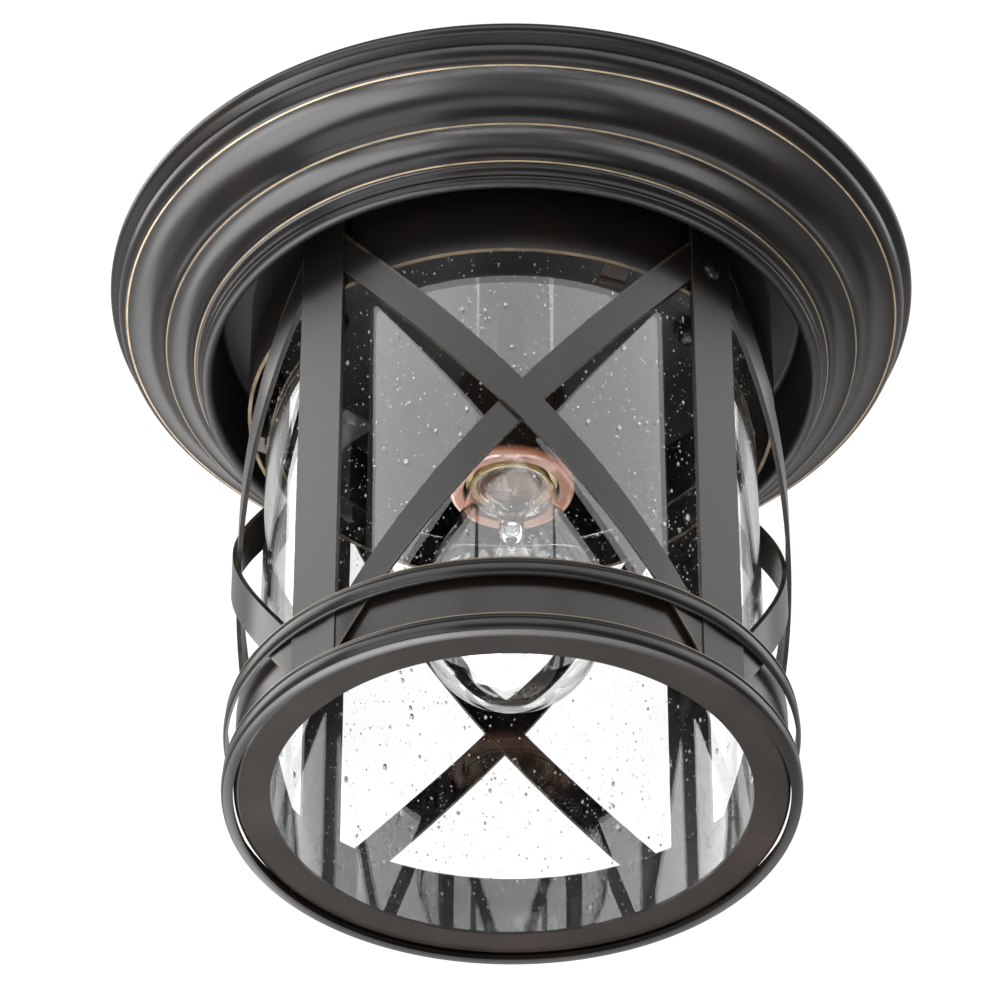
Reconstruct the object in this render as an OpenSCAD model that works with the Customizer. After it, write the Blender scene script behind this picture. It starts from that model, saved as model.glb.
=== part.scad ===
// Porch ceiling lantern: a stepped ceiling pan, a round strap cage with an X on each
// of its four sides, a seeded glass cylinder and one clear lamp, cap up.
// Millimetres. The ceiling is the plane z = 0 and the lantern hangs below it.
// Azimuths are degrees from the front (-Y) towards the right (+X).

/* [Ceiling pan] */
// Gap between the cage's collar and the mouth of the pan
mouth_gap = 12.4; // [9:0.1:20]
// Sheet thickness of the spun pan
pan_wall = 1.2; // [0.8:0.1:1.6]
// Radius of the rolled bead at the rim
rim_bead_r = 3.1; // [2.4:0.1:4.5]
// Inset of the first step from the pan's outer edge
step1_inset = 6.2; // [5:0.1:8]
// Drop of the first step below the ceiling
step1_drop = 14.8; // [12:0.1:20]
// Width of the wide cove between the first and second steps
cove1_w = 13.9; // [10:0.1:18]
// Height of the wide cove
cove1_h = 13.3; // [10:0.1:18]
// Width of the narrow cove between the second and third steps
cove2_w = 10.1; // [8:0.1:14]
// Height of the narrow cove
cove2_h = 7.4; // [6:0.1:12]
// Width from the third step in to the mouth of the pan
mouth_w = 6.9; // [6:0.1:9]
// Height from the third step down to the mouth of the pan
mouth_h = 7.1; // [6:0.1:9]
// Radius of the bead round the mouth
mouth_bead_r = 2.3; // [1.8:0.1:2.6]
// Radius of the rubbed edges of the second and third steps
arris_r = 0.8; // [0.4:0.1:1.2]
// Depth from the ceiling to the upper face of the flat middle
plate_drop = 10.6; // [10:0.1:16]

/* [Cage] */
// Outer diameter of the collar and of the base ring's wall
cage_d = 181; // [150:0.5:200]
// Sheet thickness of the collar and the base ring
cage_wall = 1.2; // [0.8:0.1:2]
// Height of the collar
collar_h = 45.1; // [36:0.1:60]
// Drop of the base ring's underside below the ceiling
cage_drop = 215.3; // [190:0.1:260]
// Height of the base ring's wall
ring_h = 29.3; // [24:0.1:40]
// How far the base ring's lip reaches in beyond the glass
lip_reach = 2.15; // [1:0.05:6]
// Thickness of the base ring's lip
lip_t = 1.2; // [0.8:0.1:2]
// Bend radius between the base ring's wall and lip
ring_bend_r = 1.6; // [1.3:0.1:3]

/* [Straps] */
// Width of each upright
upright_w = 19; // [12:0.5:24]
// Width of each crossed strap
strap_w = 10.5; // [8:0.5:16]
// Thickness of the uprights and the crossed straps
strap_t = 1.5; // [1:0.1:2.2]
// Where a strap's high end would meet the upright's middle, below the collar's top
strap_high_inset = 21.2; // [14:0.1:30]
// Where a strap's low end would meet the upright's middle, above the ring's underside
strap_low_inset = 2.2; // [0:0.1:12]

/* [Hoops] */
// Height of each hoop
hoop_h = 6.6; // [5:0.1:10]
// Radial thickness of each hoop at its bead
hoop_t = 1.5; // [1.3:0.1:3]
// Drop of the upper hoop's top edge below the base ring's top edge
upper_hoop_inset = 2.9; // [0:0.1:8]
// How far the lower hoop hangs below the base ring
lower_hoop_hang = 2.1; // [0:0.1:4]

/* [Glass] */
// Gap between the glass and the cage round it
glass_gap = 5.55; // [4.5:0.05:9]
// Wall of the glass cylinder
glass_wall = 3; // [2:0.1:5]
// Drop of the glass's upper edge below the ceiling
glass_top_drop = 46.6; // [38:0.1:53]

/* [Socket] */
// Outer diameter of the porcelain socket at its mouth
socket_d = 43; // [40:0.5:50]
// Height of the porcelain socket
socket_h = 46; // [42:0.5:60]
// Drop of the socket's mouth below the ceiling
socket_drop = 88.6; // [84:0.1:95]
// Bore of the socket's mouth, below the screw shell
mouth_bore = 32.8; // [32:0.1:35]
// Depth of the socket's mouth, below the screw shell
mouth_bore_h = 4.6; // [3:0.1:6]
// Outer diameter of the threaded tube that carries the socket
nipple_d = 9.6; // [8:0.1:12]
// Bore of the threaded tube
nipple_bore = 6.4; // [5:0.1:7]

/* [Lamp] */
// Diameter of the glass envelope
bulb_d = 61; // [50:0.5:66]
// Length of the lamp from contact to tip
bulb_len = 113; // [108:0.5:120]
// Height of the envelope's shoulder, if it closed on the axis
shoulder_h = 47.5; // [44:0.5:50]
// Diameter of the envelope's neck, outside the socket
neck_d = 30.4; // [28:0.1:31.4]
// Diameter over the cap's thread
cap_d = 26.3; // [25:0.1:27]
// Pitch of the lamp thread
thread_pitch = 3.63; // [3:0.01:4]
// Wall of the envelope
bulb_wall = 0.8; // [0.5:0.1:1.2]

/* [Fixings] */
// Distance between the two hanging studs
stud_spacing = 124; // [110:1:136]
// Diameter of the hanging studs
stud_d = 4.1; // [3.5:0.1:5]
// Length of the crossbar
crossbar_len = 140; // [130:1:160]
// Width of the crossbar
crossbar_w = 20; // [16:0.5:26]
// Thickness of the crossbar
crossbar_t = 1.6; // [1.2:0.1:2.4]
// Distance between the middles of the two outlet-box slots
slot_spacing = 79.4; // [74:0.1:84]
// Width of an outlet-box slot
slot_w = 4.8; // [4:0.1:6]
// Length of an outlet-box slot, end to end
slot_len = 24; // [16:0.5:28]
// Diameter of the two screws that hold the cage
cage_screw_d = 3.8; // [3:0.1:4.5]
// Drop of the cage screws below the ceiling
cage_screw_drop = 42.1; // [37:0.1:47]

/* [Hidden] */
$fn = 96;
SIDES = ["front", "right", "rear", "left"];

// Clearances
weld_gap = 0.15;      // between rolled pieces that are welded together
seat_gap = 0.1;       // between a piece and the face that it stands on
thread_gap = 0.05;    // between a screw and the hole that it is driven into
lamp_gap = 0.3;       // between the lamp and the socket's shell
hole_gap = 0.3;       // between a screw and a hole that it only passes through

// Finishes
BRONZE = "#2e2926";
ZINC = "#a9adb0";
BRASS = "#c9a24b";
PORCELAIN = "#d8a48c";
CLEAR = [0.85, 0.92, 0.94, 0.35];
GREEN = "#2f7d3c";

// Ceiling pan
mouth_r = cage_d / 2 + mouth_gap;
pan_r = mouth_r + mouth_w + cove2_w + cove1_w + step1_inset;
step1 = [pan_r - step1_inset, -step1_drop];
step2 = step1 - [cove1_w, cove1_h];
step3 = step2 - [cove2_w, cove2_h];
mouth = step3 - [mouth_w, mouth_h];
plate_top = -plate_drop;
plate_under = plate_top - pan_wall;
roll_rx = 0.77 * step1_inset;         // the roll between the rim bead and the first step
roll_rz = 0.66 * (step1_drop - 2 * rim_bead_r);
roll_from = 22;                       // where the roll starts and ends, in degrees
roll_to = -70;
recess_taper = 1.5;                   // how far the recess wall leans in
recess_bend_r = 2.5;                  // bend between the recess wall and the flat middle

// Cage
cage_r = cage_d / 2;
cage_bore_r = cage_r - cage_wall;
collar_top = plate_under - seat_gap;
collar_bottom = collar_top - collar_h;
ring_bottom = -cage_drop;
ring_top = ring_bottom + ring_h;
lip_top = ring_bottom + lip_t;
glass_r = cage_bore_r - glass_gap;
lip_bore_r = glass_r - glass_wall - lip_reach;

// Straps: the uprights are flat, the crossed straps follow the cage
strap_in_r = cage_r + weld_gap;
strap_out_r = strap_in_r + strap_t;
upright_top = collar_top - 2.5;
strap_high = collar_top - strap_high_inset;
strap_low = ring_bottom + strap_low_inset;
side_span = 360 / len(SIDES);                       // degrees from upright to upright
strap_rise = (strap_high - strap_low) / side_span;  // mm of height per degree
strap_mid_z = (strap_low + strap_high) / 2;
strap_lean = atan(strap_rise / (strap_in_r * PI / 180));
strap_v = strap_w / cos(strap_lean);                // the strap's width, measured upwards
over_lift = strap_t + weld_gap;                     // how far the outer strap bows out
over_end = side_span / 2 - asin(upright_w / 2 / strap_in_r);
// The outer strap lies on a smaller cylinder, set forward, that meets the cage at its ends
over_shift = over_lift * (2 * strap_in_r + over_lift)
    / (2 * (strap_in_r * (1 - cos(over_end)) + over_lift));
over_in_r = strap_in_r + over_lift - over_shift;
// Distance from the cage's axis to a face of radius r on the outer strap, at an angle
function over_face(r, t) = over_shift * cos(t) + sqrt(pow(r, 2) - pow(over_shift * sin(t), 2));

// Hoops clasp the corners of the flat uprights and the feet of the outer straps
upper_hoop_top = ring_top - upper_hoop_inset;
lower_hoop_top = ring_bottom - lower_hoop_hang + hoop_h;
upright_corner_r = norm([strap_out_r, upright_w / 2]);
over_foot = (strap_mid_z - strap_v / 2 - upper_hoop_top) / strap_rise;
hoop_in_r = max(upright_corner_r, over_face(over_in_r + strap_t, over_foot)) + weld_gap;
hoop_out_r = hoop_in_r + hoop_t;

// Glass
glass_bottom = lip_top + seat_gap;
glass_top = -glass_top_drop;

// Glass clips, welded inside the collar
clip_w = 9;
clip_t = 0.8;
clip_leg = 9;         // length of the leg that lies on the collar
clip_reach = 5;       // how far the clip hangs below the collar
clip_count = 3;
clip_first = 21.5;    // azimuth of the first clip

// Cage screws and the tabs that they are driven into
screw_azimuths = [0.5 * side_span, 2.5 * side_span];
cage_screw_r = cage_screw_d / 2;
cage_screw_z = -cage_screw_drop;
screw_head_r = 2.1 * cage_screw_r;
screw_head_h = 2.4;
tab_w = 14;
tab_t = 1.6;
tab_foot = 14;
tab_out = sqrt(pow(cage_bore_r - weld_gap, 2) - pow(tab_w / 2, 2));
tab_bottom = cage_screw_z - 8;
rivet_r = 1.6;
rivet_head_r = 3;
rivet_head_h = 1.2;
rivet_at = tab_out - tab_foot / 2 - tab_t / 2;

// Crossbar and studs
crossbar_top = 0;
bar_bore_r = 5;       // the way for the wires
crossbar_under = crossbar_top - crossbar_t;
stud_r = stud_d / 2;
nut_af = 9.5;         // across the flats of the stud nuts
nut_h = 3;
stud_end = plate_under - 6.5;
cap_nut_h = 8.6;
ground_x = 19;
ground_r = 2;
ground_head_r = 4.2;
ground_head_h = 2.2;
ground_len = 1.6;     // how far the ground screw stands out of the bar, for a wire

// Socket and the tube that carries it
nipple_r = nipple_d / 2;
nipple_nut_af = 14.5;
nipple_nut_h = 3.2;
socket_r = socket_d / 2;
socket_mouth = -socket_drop;
socket_top = socket_mouth + socket_h;
socket_rim_h = 13;    // the heavy rim, below the waist
socket_rim_r = 2;     // rounding of the rim's outer edge
socket_waist = 2.6;   // how far the waist is drawn in
shoulder_edge = 1.5;  // bevel of the socket's shoulder
bracket_t = 1.2;
bracket_w = 13;
bracket_len = 34;
bracket_top = socket_top + bracket_t;
bracket_screw_x = 13;
bracket_screw_r = 1.6;
nipple_top = plate_top + nipple_nut_h + 1;
nipple_end = socket_top - 1;

// Lamp
bulb_r = bulb_d / 2;
cap_r = cap_d / 2;
thread_depth = 0.45;
cap_h = 23;
cap_wall = 0.9;
socket_floor_gap = 1.8;   // room for the contact above the lamp
lamp_depth = 28;          // from the socket's mouth to the lamp's contact
lamp_top = socket_mouth + lamp_depth;
lamp_tip = lamp_top - bulb_len;
bulb_centre = lamp_tip + bulb_r;
cap_top = lamp_top - 3;
contact_r = 4.4;
contact_h = 0.8;
insulator_r = 5;
cap_rim = cap_top - cap_h;
cap_in_r = cap_r - thread_depth - cap_wall;
cap_mouth_r = cap_in_r - 2;           // the cap's upper mouth, round the insulator
seal_r = cap_in_r - lamp_gap;         // the envelope's edge inside the cap
neck_r = neck_d / 2;
neck_low = cap_rim - 2.5;             // where the neck turns in to the cap
seal_top = 5;                         // how far the envelope's edge reaches into the cap
shoulder_turn = 39;                   // where the shoulder runs out into the neck, in degrees
shell_in_r = cap_r + lamp_gap;
shell_wall = 0.5;
shell_out_r = shell_in_r + thread_depth + shell_wall;
socket_bore_r = shell_out_r + weld_gap;
socket_floor = lamp_top + socket_floor_gap;
shell_step = socket_mouth + mouth_bore_h;      // the porcelain's step over the shell's flange
shell_top = shell_step - seat_gap;             // upper face of that flange
shell_bottom = shell_top - shell_wall;
flange_r = mouth_bore / 2 - 3 * lamp_gap;
shell_eye_r = 6.6;                             // hole in the shell's end, round the contact

// The lamp's glass mount, its leads and its filament
flare_h = 3;          // how far the flare reaches up into the cap
flare_drop = 9;       // from the cap's rim down to the flare's foot
flare_foot_r = 6;
flare_lip = 0.3;      // how far the flare is drawn in at the cap's rim
neck_run = 4;         // from the flare's foot to the straight tube
stem_r = 4.2;
stem_len = 18;        // from the cap's rim down to the end of the hollow tube
press_len = 5.5;      // the pressed seal, below the tube
rod_r = 1.4;
button_r = 2.3;
button_h = 1.4;
button_drop = 32.6;
lead_r = 0.4;
lead_entry = 2.8;     // how far below the tube's end the leads come out of the seal
lead_clear = 0.3;
lead_drop = 44;       // from the cap's rim down to the filament
lead_spread = 12;
filament_r = 0.45;
filament_sag = 1.1;   // the filament's ends lie this far below the leads' ends
filament_lift = 2.4;  // and its middle this far above them
hook_h = 3;
flare_r = seal_r - bulb_wall - weld_gap;
flare_foot = cap_rim - flare_drop;
stem_low = cap_rim - stem_len;
press_low = stem_low - press_len;
button_z = cap_rim - button_drop;
lead_top = [stem_r + lead_clear, stem_low - lead_entry];
lead_low = cap_rim - lead_drop;

// ---------------------------------------------------------------- outlines

function unit(v) = v / norm(v);
function right_of(d) = [d[1], -d[0]];

// A cove: a quarter ellipse on from a flat start at a to a steep end at b
function cove(a, b, n) = [for (i = [1:n]) let (t = 90 * i / n)
    [b[0] + (a[0] - b[0]) * (1 - sin(t)), a[1] + (b[1] - a[1]) * (1 - cos(t))]];

// An arc about c, from angle a0 to a1, with separate radii for width and height
function oval(c, rx, rz, a0, a1, n) = [for (i = [0:n]) let (t = a0 + (a1 - a0) * i / n)
    c + [rx * cos(t), rz * sin(t)]];

// The rounding of a steep cove's end at p into the next flat start
function edge(p, r) = r > 0 ? [for (i = [1:4]) let (t = -90 * i / 4)
    p + [r * (cos(t) - 1), r * (1 + sin(t))]] : [];

// A curve on from a to b that leaves and arrives along the lines to the corner k
function blend(a, k, b, n) = [for (i = [1:n]) let (t = i / n)
    a * pow(1 - t, 2) + k * 2 * t * (1 - t) + b * pow(t, 2)];

// The same path moved to its right-hand side by t
function beside(p, t) = [for (i = [0:len(p) - 1])
    let (a = unit(p[max(i, 1)] - p[max(i, 1) - 1]),
         b = i == len(p) - 1 ? a : unit(p[i + 1] - p[i]),
         n = unit(right_of(a) + right_of(b)))
    p[i] + n * t / max(0.5, n * right_of(a))];

function reversed(p) = [for (i = [len(p) - 1:-1:0]) p[i]];

// A sheet of thickness t on the right-hand side of a path
module sheet(p, t) polygon(concat(p, reversed(beside(p, t))));

module at(azimuth) rotate([0, 0, azimuth]) children();

// Lies along a radius at the front, with its top at distance d from the axis, pointing out
module radial(d, z) translate([0, -d, z]) rotate([90, 0, 0]) children();

module hexagon(af, h) cylinder(r = af / 2 / cos(30), h = h, $fn = 6);

module tube(r_out, r_in, z0, z1) {
    translate([0, 0, z0]) difference() {
        cylinder(r = r_out, h = z1 - z0);
        translate([0, 0, -1]) cylinder(r = r_in, h = z1 - z0 + 2);
    }
}

module hole(r, z0, z1) translate([0, 0, z0]) cylinder(r = r, h = z1 - z0);

// A cylinder between two points
module rod(a, b, r) {
    d = b - a;
    translate(a) rotate([0, acos(d[2] / norm(d)), atan2(d[1], d[0])])
        cylinder(r = r, h = norm(d), $fn = 16);
}

// ---------------------------------------------------------------- ceiling pan

// The visible face, from the ceiling over the rim and down the steps to the mouth,
// with the edges of the steps rounded to a radius r
function pan_steps(r) = let (
    bead_c = [pan_r - rim_bead_r, -rim_bead_r],
    roll_c = step1 - [roll_rx * cos(roll_to), roll_rz * sin(roll_to)])
    concat(
        oval(bead_c, rim_bead_r, rim_bead_r, 90, -60, 12),
        oval(roll_c, roll_rx, roll_rz, roll_from, roll_to, 7),
        cove(step1, step2 + [0, r], 11),
        edge(step2, r),
        cove(step2 - [r, 0], step3 + [0, r], 8),
        edge(step3, r));

// The last small cove, the bead round the mouth and the recess that the cage hangs in
function pan_recess(r) = let (
    bead_c = mouth + [mouth_bead_r, mouth_bead_r],
    bead = oval(bead_c, mouth_bead_r, mouth_bead_r, 30, -170, 10),
    bend = [mouth[0] - recess_taper, plate_under - recess_bend_r])
    concat(
        cove(step3 - [r, 0], bead[0] + [0, 0.2], 5),
        bead,
        [bend],
        blend(bend, bend + [0, recess_bend_r], bend + [-recess_bend_r, recess_bend_r], 4),
        [[0, plate_under]]);

module ceiling_pan() {
    face = concat(pan_steps(arris_r), pan_recess(arris_r));
    back = beside(concat(pan_steps(0), pan_recess(0)), pan_wall);
    color(BRONZE) difference() {
        rotate_extrude() polygon(concat(face, reversed(back)));
        hole(nipple_r + hole_gap, plate_under - 1, plate_top + 1);
        for (s = [-1, 1]) translate([s * stud_spacing / 2, 0, 0])
            hole(stud_r + hole_gap, plate_under - 1, plate_top + 1);
        for (a = screw_azimuths) at(a) translate([0, -rivet_at, 0])
            hole(rivet_r + thread_gap, plate_under - 1, plate_top + 1);
    }
}

// Angle tabs under the pan's flat middle that take the cage screws
module pan_tab() {
    difference() {
        union() {
            translate([-tab_w / 2, -tab_out, tab_bottom])
                cube([tab_w, tab_t, plate_under - tab_bottom]);
            translate([-tab_w / 2, -tab_out, plate_under - tab_t])
                cube([tab_w, tab_foot, tab_t]);
        }
        radial(tab_out - tab_t - 1, cage_screw_z) cylinder(r = cage_screw_r + thread_gap, h = tab_t + 2);
        translate([0, -rivet_at, 0]) hole(rivet_r + thread_gap, plate_under - tab_t - 1, plate_under + 1);
    }
}

module pan_tabs() color(ZINC) for (a = screw_azimuths) at(a) pan_tab();

module tab_rivets() {
    color(ZINC) for (a = screw_azimuths) at(a) translate([0, -rivet_at, 0]) {
        hole(rivet_r, plate_under - tab_t - rivet_head_h, plate_top);
        hole(rivet_head_r, plate_under - tab_t - rivet_head_h, plate_under - tab_t);
        hole(rivet_head_r, plate_top, plate_top + rivet_head_h);
    }
}

// ---------------------------------------------------------------- crossbar and fixings

module slot(spacing_x) {
    run = slot_len - slot_w;
    translate([spacing_x, 0, crossbar_under - 1]) {
        for (s = [-1, 1]) translate([s * run / 2, 0, 0]) cylinder(r = slot_w / 2, h = crossbar_t + 2);
        translate([-run / 2, -slot_w / 2, 0]) cube([run, slot_w, crossbar_t + 2]);
    }
}

module mounting_crossbar() {
    color(ZINC) difference() {
        translate([-crossbar_len / 2, -crossbar_w / 2, crossbar_under])
            cube([crossbar_len, crossbar_w, crossbar_t]);
        for (s = [-1, 1]) {
            slot(s * slot_spacing / 2);
            translate([s * stud_spacing / 2, 0, 0])
                hole(stud_r + thread_gap, crossbar_under - 1, crossbar_top + 1);
        }
        hole(bar_bore_r, crossbar_under - 1, crossbar_top + 1);
        translate([ground_x, 0, 0]) hole(ground_r + thread_gap, crossbar_under - 1, crossbar_top + 1);
    }
}

module at_studs() for (s = [-1, 1]) translate([s * stud_spacing / 2, 0, 0]) children();

module hanging_studs() color(ZINC) at_studs() hole(stud_r, stud_end, crossbar_top);

module stud_locknuts() {
    color(ZINC) at_studs() difference() {
        translate([0, 0, crossbar_under - nut_h]) hexagon(nut_af, nut_h);
        hole(stud_r + thread_gap, crossbar_under - nut_h - 1, crossbar_under + 1);
    }
}

// A domed nut: a hexagon with a round cap, bored from above
module cap_nut() {
    hex_h = cap_nut_h * 0.45;
    difference() {
        union() {
            translate([0, 0, -hex_h]) hexagon(nut_af, hex_h);
            translate([0, 0, -hex_h]) rotate_extrude()
                polygon(concat([[0, 0]], oval([0, 0], nut_af / 2 - 0.3, cap_nut_h - hex_h, 0, -90, 10)));
        }
        hole(stud_r + thread_gap, stud_end - plate_under - 0.4, 1);
    }
}

module cap_nuts() color(BRONZE) at_studs() translate([0, 0, plate_under]) cap_nut();

module ground_screw() {
    color(GREEN) translate([ground_x, 0, 0]) difference() {
        union() {
            hole(ground_r, crossbar_under - ground_len, crossbar_top);
            hole(ground_head_r, crossbar_under - ground_len - ground_head_h, crossbar_under - ground_len);
        }
        translate([-ground_head_r, -0.5, crossbar_under - ground_len - ground_head_h - 1])
            cube([2 * ground_head_r, 1, 2]);
    }
}

// ---------------------------------------------------------------- socket

module socket_nipple() color(BRASS) tube(nipple_r, nipple_bore / 2, nipple_end, nipple_top);

module nipple_nut(z) {
    difference() {
        translate([0, 0, z]) hexagon(nipple_nut_af, nipple_nut_h);
        hole(nipple_r + thread_gap, z - 1, z + nipple_nut_h + 1);
    }
}

module nipple_locknuts() {
    color(BRASS) for (z = [plate_top, plate_under - nipple_nut_h, bracket_top]) nipple_nut(z);
}

module socket_bracket() {
    color(ZINC) difference() {
        translate([-bracket_len / 2, -bracket_w / 2, socket_top])
            cube([bracket_len, bracket_w, bracket_t]);
        hole(nipple_r + thread_gap, socket_top - 1, bracket_top + 1);
        for (s = [-1, 1]) translate([s * bracket_screw_x, 0, 0])
            hole(bracket_screw_r + thread_gap, socket_top - 1, bracket_top + 1);
    }
}

module bracket_screws() {
    color(ZINC) for (s = [-1, 1]) translate([s * bracket_screw_x, 0, 0]) difference() {
        union() {
            hole(bracket_screw_r, socket_top - 7, bracket_top);
            hole(1.9 * bracket_screw_r, bracket_top, bracket_top + 1.8);
        }
        translate([-4, -0.4, bracket_top + 1]) cube([8, 0.8, 2]);
    }
}

// A porcelain cup with a heavy rolled rim, a waist and a square shoulder. Its mouth is
// wider than the screw shell, whose flange lies under a step.
module lamp_socket() {
    waist_r = socket_r - socket_waist;
    rim_top = socket_mouth + socket_rim_h;
    rim_c = [socket_r - socket_rim_r, socket_mouth + socket_rim_r];
    outline = concat(
        [[mouth_bore / 2, socket_mouth], [rim_c[0], socket_mouth]],
        oval(rim_c, socket_rim_r, socket_rim_r, -80, 0, 6),
        [[socket_r, rim_top]],
        blend([socket_r, rim_top], [waist_r, rim_top + 1], [waist_r, rim_top + 5], 6),
        [[waist_r, socket_top - shoulder_edge], [waist_r - shoulder_edge, socket_top],
         [0, socket_top], [0, socket_floor], [socket_bore_r, socket_floor],
         [socket_bore_r, shell_step], [mouth_bore / 2, shell_step]]);
    color(PORCELAIN) difference() {
        rotate_extrude() polygon(outline);
        hole(nipple_r + hole_gap, nipple_end - 1, socket_top + 1);
        for (s = [-1, 1]) translate([s * bracket_screw_x, 0, 0])
            hole(bracket_screw_r + thread_gap, socket_top - 7.5, socket_top + 1);
    }
}

// Height of a thread's wave at z, from 0 at its root to 1 at its crest
function wave(z) = 0.5 + 0.5 * cos(360 * z / thread_pitch);

function thread(r, depth, z0, z1) = let (n = ceil((z1 - z0) / thread_pitch * 8))
    [for (i = [0:n]) let (z = z0 + (z1 - z0) * i / n) [r + depth * wave(z), z]];

module socket_shell() {
    inner = thread(shell_in_r, thread_depth, shell_bottom, socket_floor - shell_wall);
    color(BRASS) rotate_extrude() polygon(concat(
        inner, [[shell_eye_r, socket_floor - shell_wall], [shell_eye_r, socket_floor]],
        [[shell_out_r, socket_floor], [shell_out_r, shell_top],
         [flange_r, shell_top], [flange_r, shell_bottom]]));
}

module socket_contact() {
    leaf_low = lamp_top + lamp_gap;
    color(BRASS) {
        translate([-contact_r, -2.5, leaf_low]) cube([2 * contact_r, 5, 0.6]);
        translate([-contact_r, -2.5, leaf_low]) cube([1.4, 5, socket_floor - leaf_low]);
    }
}

// ---------------------------------------------------------------- cage

module cage_collar() {
    color(BRONZE) difference() {
        tube(cage_r, cage_bore_r, collar_bottom, collar_top);
        for (a = screw_azimuths) at(a) radial(cage_bore_r - 2, cage_screw_z)
            cylinder(r = cage_screw_r + hole_gap, h = cage_wall + 4);
    }
}

// Pan-head screw with a cross recess, driven in along a radius
module cage_screw() {
    seat = strap_out_r;
    tip = tab_out - tab_t - 0.8;
    radial(tip, cage_screw_z) cylinder(r = cage_screw_r, h = seat - tip);
    radial(seat, cage_screw_z) difference() {
        rotate_extrude() polygon(concat([[0, 0]],
            oval([0, 0], screw_head_r, screw_head_h, 0, 90, 8)));
        for (s = [0, 90]) rotate([0, 0, s])
            translate([-screw_head_r * 0.55, -0.45, screw_head_h * 0.35])
                cube([screw_head_r * 1.1, 0.9, screw_head_h]);
    }
}

module cage_screws() color(BRONZE) for (a = screw_azimuths) at(a) cage_screw();

// A bent clip: one leg on the collar, a slope, and a foot that steadies the glass
module glass_clip() {
    back = sqrt(pow(cage_bore_r - weld_gap, 2) - pow(clip_w / 2, 2));
    foot_in = glass_r + 0.4;
    path = [[back, collar_bottom + clip_leg + 2],
            [back, collar_bottom + 2],
            [back, collar_bottom],
            [foot_in + clip_t, collar_bottom - clip_reach + 3],
            [foot_in + clip_t, collar_bottom - clip_reach]];
    rotate([90, 0, -90]) translate([0, 0, -clip_w / 2])
        linear_extrude(clip_w) sheet(path, clip_t);
}

module glass_clips() {
    color(BRONZE) for (i = [0:clip_count - 1]) at(clip_first + 360 * i / clip_count) glass_clip();
}

module upright(screwed) {
    difference() {
        translate([-upright_w / 2, -strap_out_r, ring_bottom])
            cube([upright_w, strap_t, upright_top - ring_bottom]);
        if (screwed) radial(strap_in_r - 1, cage_screw_z)
            cylinder(r = cage_screw_r + hole_gap, h = strap_t + 2);
    }
}

module upright_front_right() color(BRONZE) at(0.5 * side_span) upright(true);
module upright_rear_right() color(BRONZE) at(1.5 * side_span) upright(false);
module upright_rear_left() color(BRONZE) at(2.5 * side_span) upright(true);
module upright_front_left() color(BRONZE) at(3.5 * side_span) upright(false);

// The band that a strap fills, seen from outside; side is 1 where it falls to the right
module strap_band(side, is_over) {
    steps = 22;
    reach = side_span / 2;
    line = [for (i = [0:steps]) let (t = -reach + 2 * reach * i / steps,
                r = is_over ? over_face(over_in_r, t) : strap_in_r)
        [r * sin(t), strap_mid_z - side * strap_rise * t]];
    up = [0, strap_v / 2];
    polygon(concat([for (p = line) p + up], reversed([for (p = line) p - up])));
}

// One strap of an X, cut square against the uprights at both ends
module strap(side, is_over) {
    shift = is_over ? over_shift : 0;
    r = is_over ? over_in_r : strap_in_r;
    z0 = strap_low - strap_v;
    z1 = strap_high + strap_v;
    slot_w2 = upright_w + 2 * seat_gap;
    difference() {
        intersection() {
            translate([0, -shift, 0]) tube(r + strap_t, r, z0, z1);
            rotate([90, 0, 0]) linear_extrude(2 * strap_out_r) strap_band(side, is_over);
        }
        for (a = [-side_span / 2, side_span / 2]) at(a)
            translate([-slot_w2 / 2, -2 * strap_out_r, z0 - 1])
                cube([slot_w2, 2 * strap_out_r, z1 - z0 + 2]);
    }
}

module strap_front_over() color(BRONZE) at(0) strap(1, true);
module strap_right_over() color(BRONZE) at(side_span) strap(1, true);
module strap_rear_over() color(BRONZE) at(2 * side_span) strap(1, true);
module strap_left_over() color(BRONZE) at(3 * side_span) strap(1, true);
module strap_front_under() color(BRONZE) at(0) strap(-1, false);
module strap_right_under() color(BRONZE) at(side_span) strap(-1, false);
module strap_rear_under() color(BRONZE) at(2 * side_span) strap(-1, false);
module strap_left_under() color(BRONZE) at(3 * side_span) strap(-1, false);

// An angle ring: a wall that the straps are welded to and a lip that the glass stands on
module base_ring() {
    outline = concat(
        [[cage_bore_r, ring_top], [cage_bore_r, lip_top], [lip_bore_r, lip_top], [lip_bore_r, ring_bottom]],
        oval([cage_r - ring_bend_r, ring_bottom + ring_bend_r], ring_bend_r, ring_bend_r, -90, 0, 6),
        [[cage_r, ring_top]]);
    color(BRONZE) rotate_extrude() polygon(outline);
}

// A rolled hoop: a thin square edge, a quirk, then a round bead
module hoop(top) {
    edge_h = 0.8;
    edge_r = hoop_in_r + hoop_t * 0.8;
    quirk_r = hoop_in_r + hoop_t * 0.45;
    bead_c = [quirk_r - 0.2, top - edge_h - (hoop_h - edge_h) * 0.52];
    outline = concat(
        [[hoop_in_r, top], [edge_r, top], [edge_r, top - edge_h], [quirk_r, top - edge_h - 0.3]],
        oval(bead_c, hoop_out_r - quirk_r + 0.2, (hoop_h - edge_h) * 0.46, 70, -80, 10),
        [[hoop_in_r, top - hoop_h]]);
    rotate_extrude() polygon(outline);
}

module upper_hoop() color(BRONZE) hoop(upper_hoop_top);
module lower_hoop() color(BRONZE) hoop(lower_hoop_top);

module glass_cylinder() {
    color(CLEAR) tube(glass_r, glass_r - glass_wall, glass_bottom, glass_top);
}

// ---------------------------------------------------------------- lamp

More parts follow.
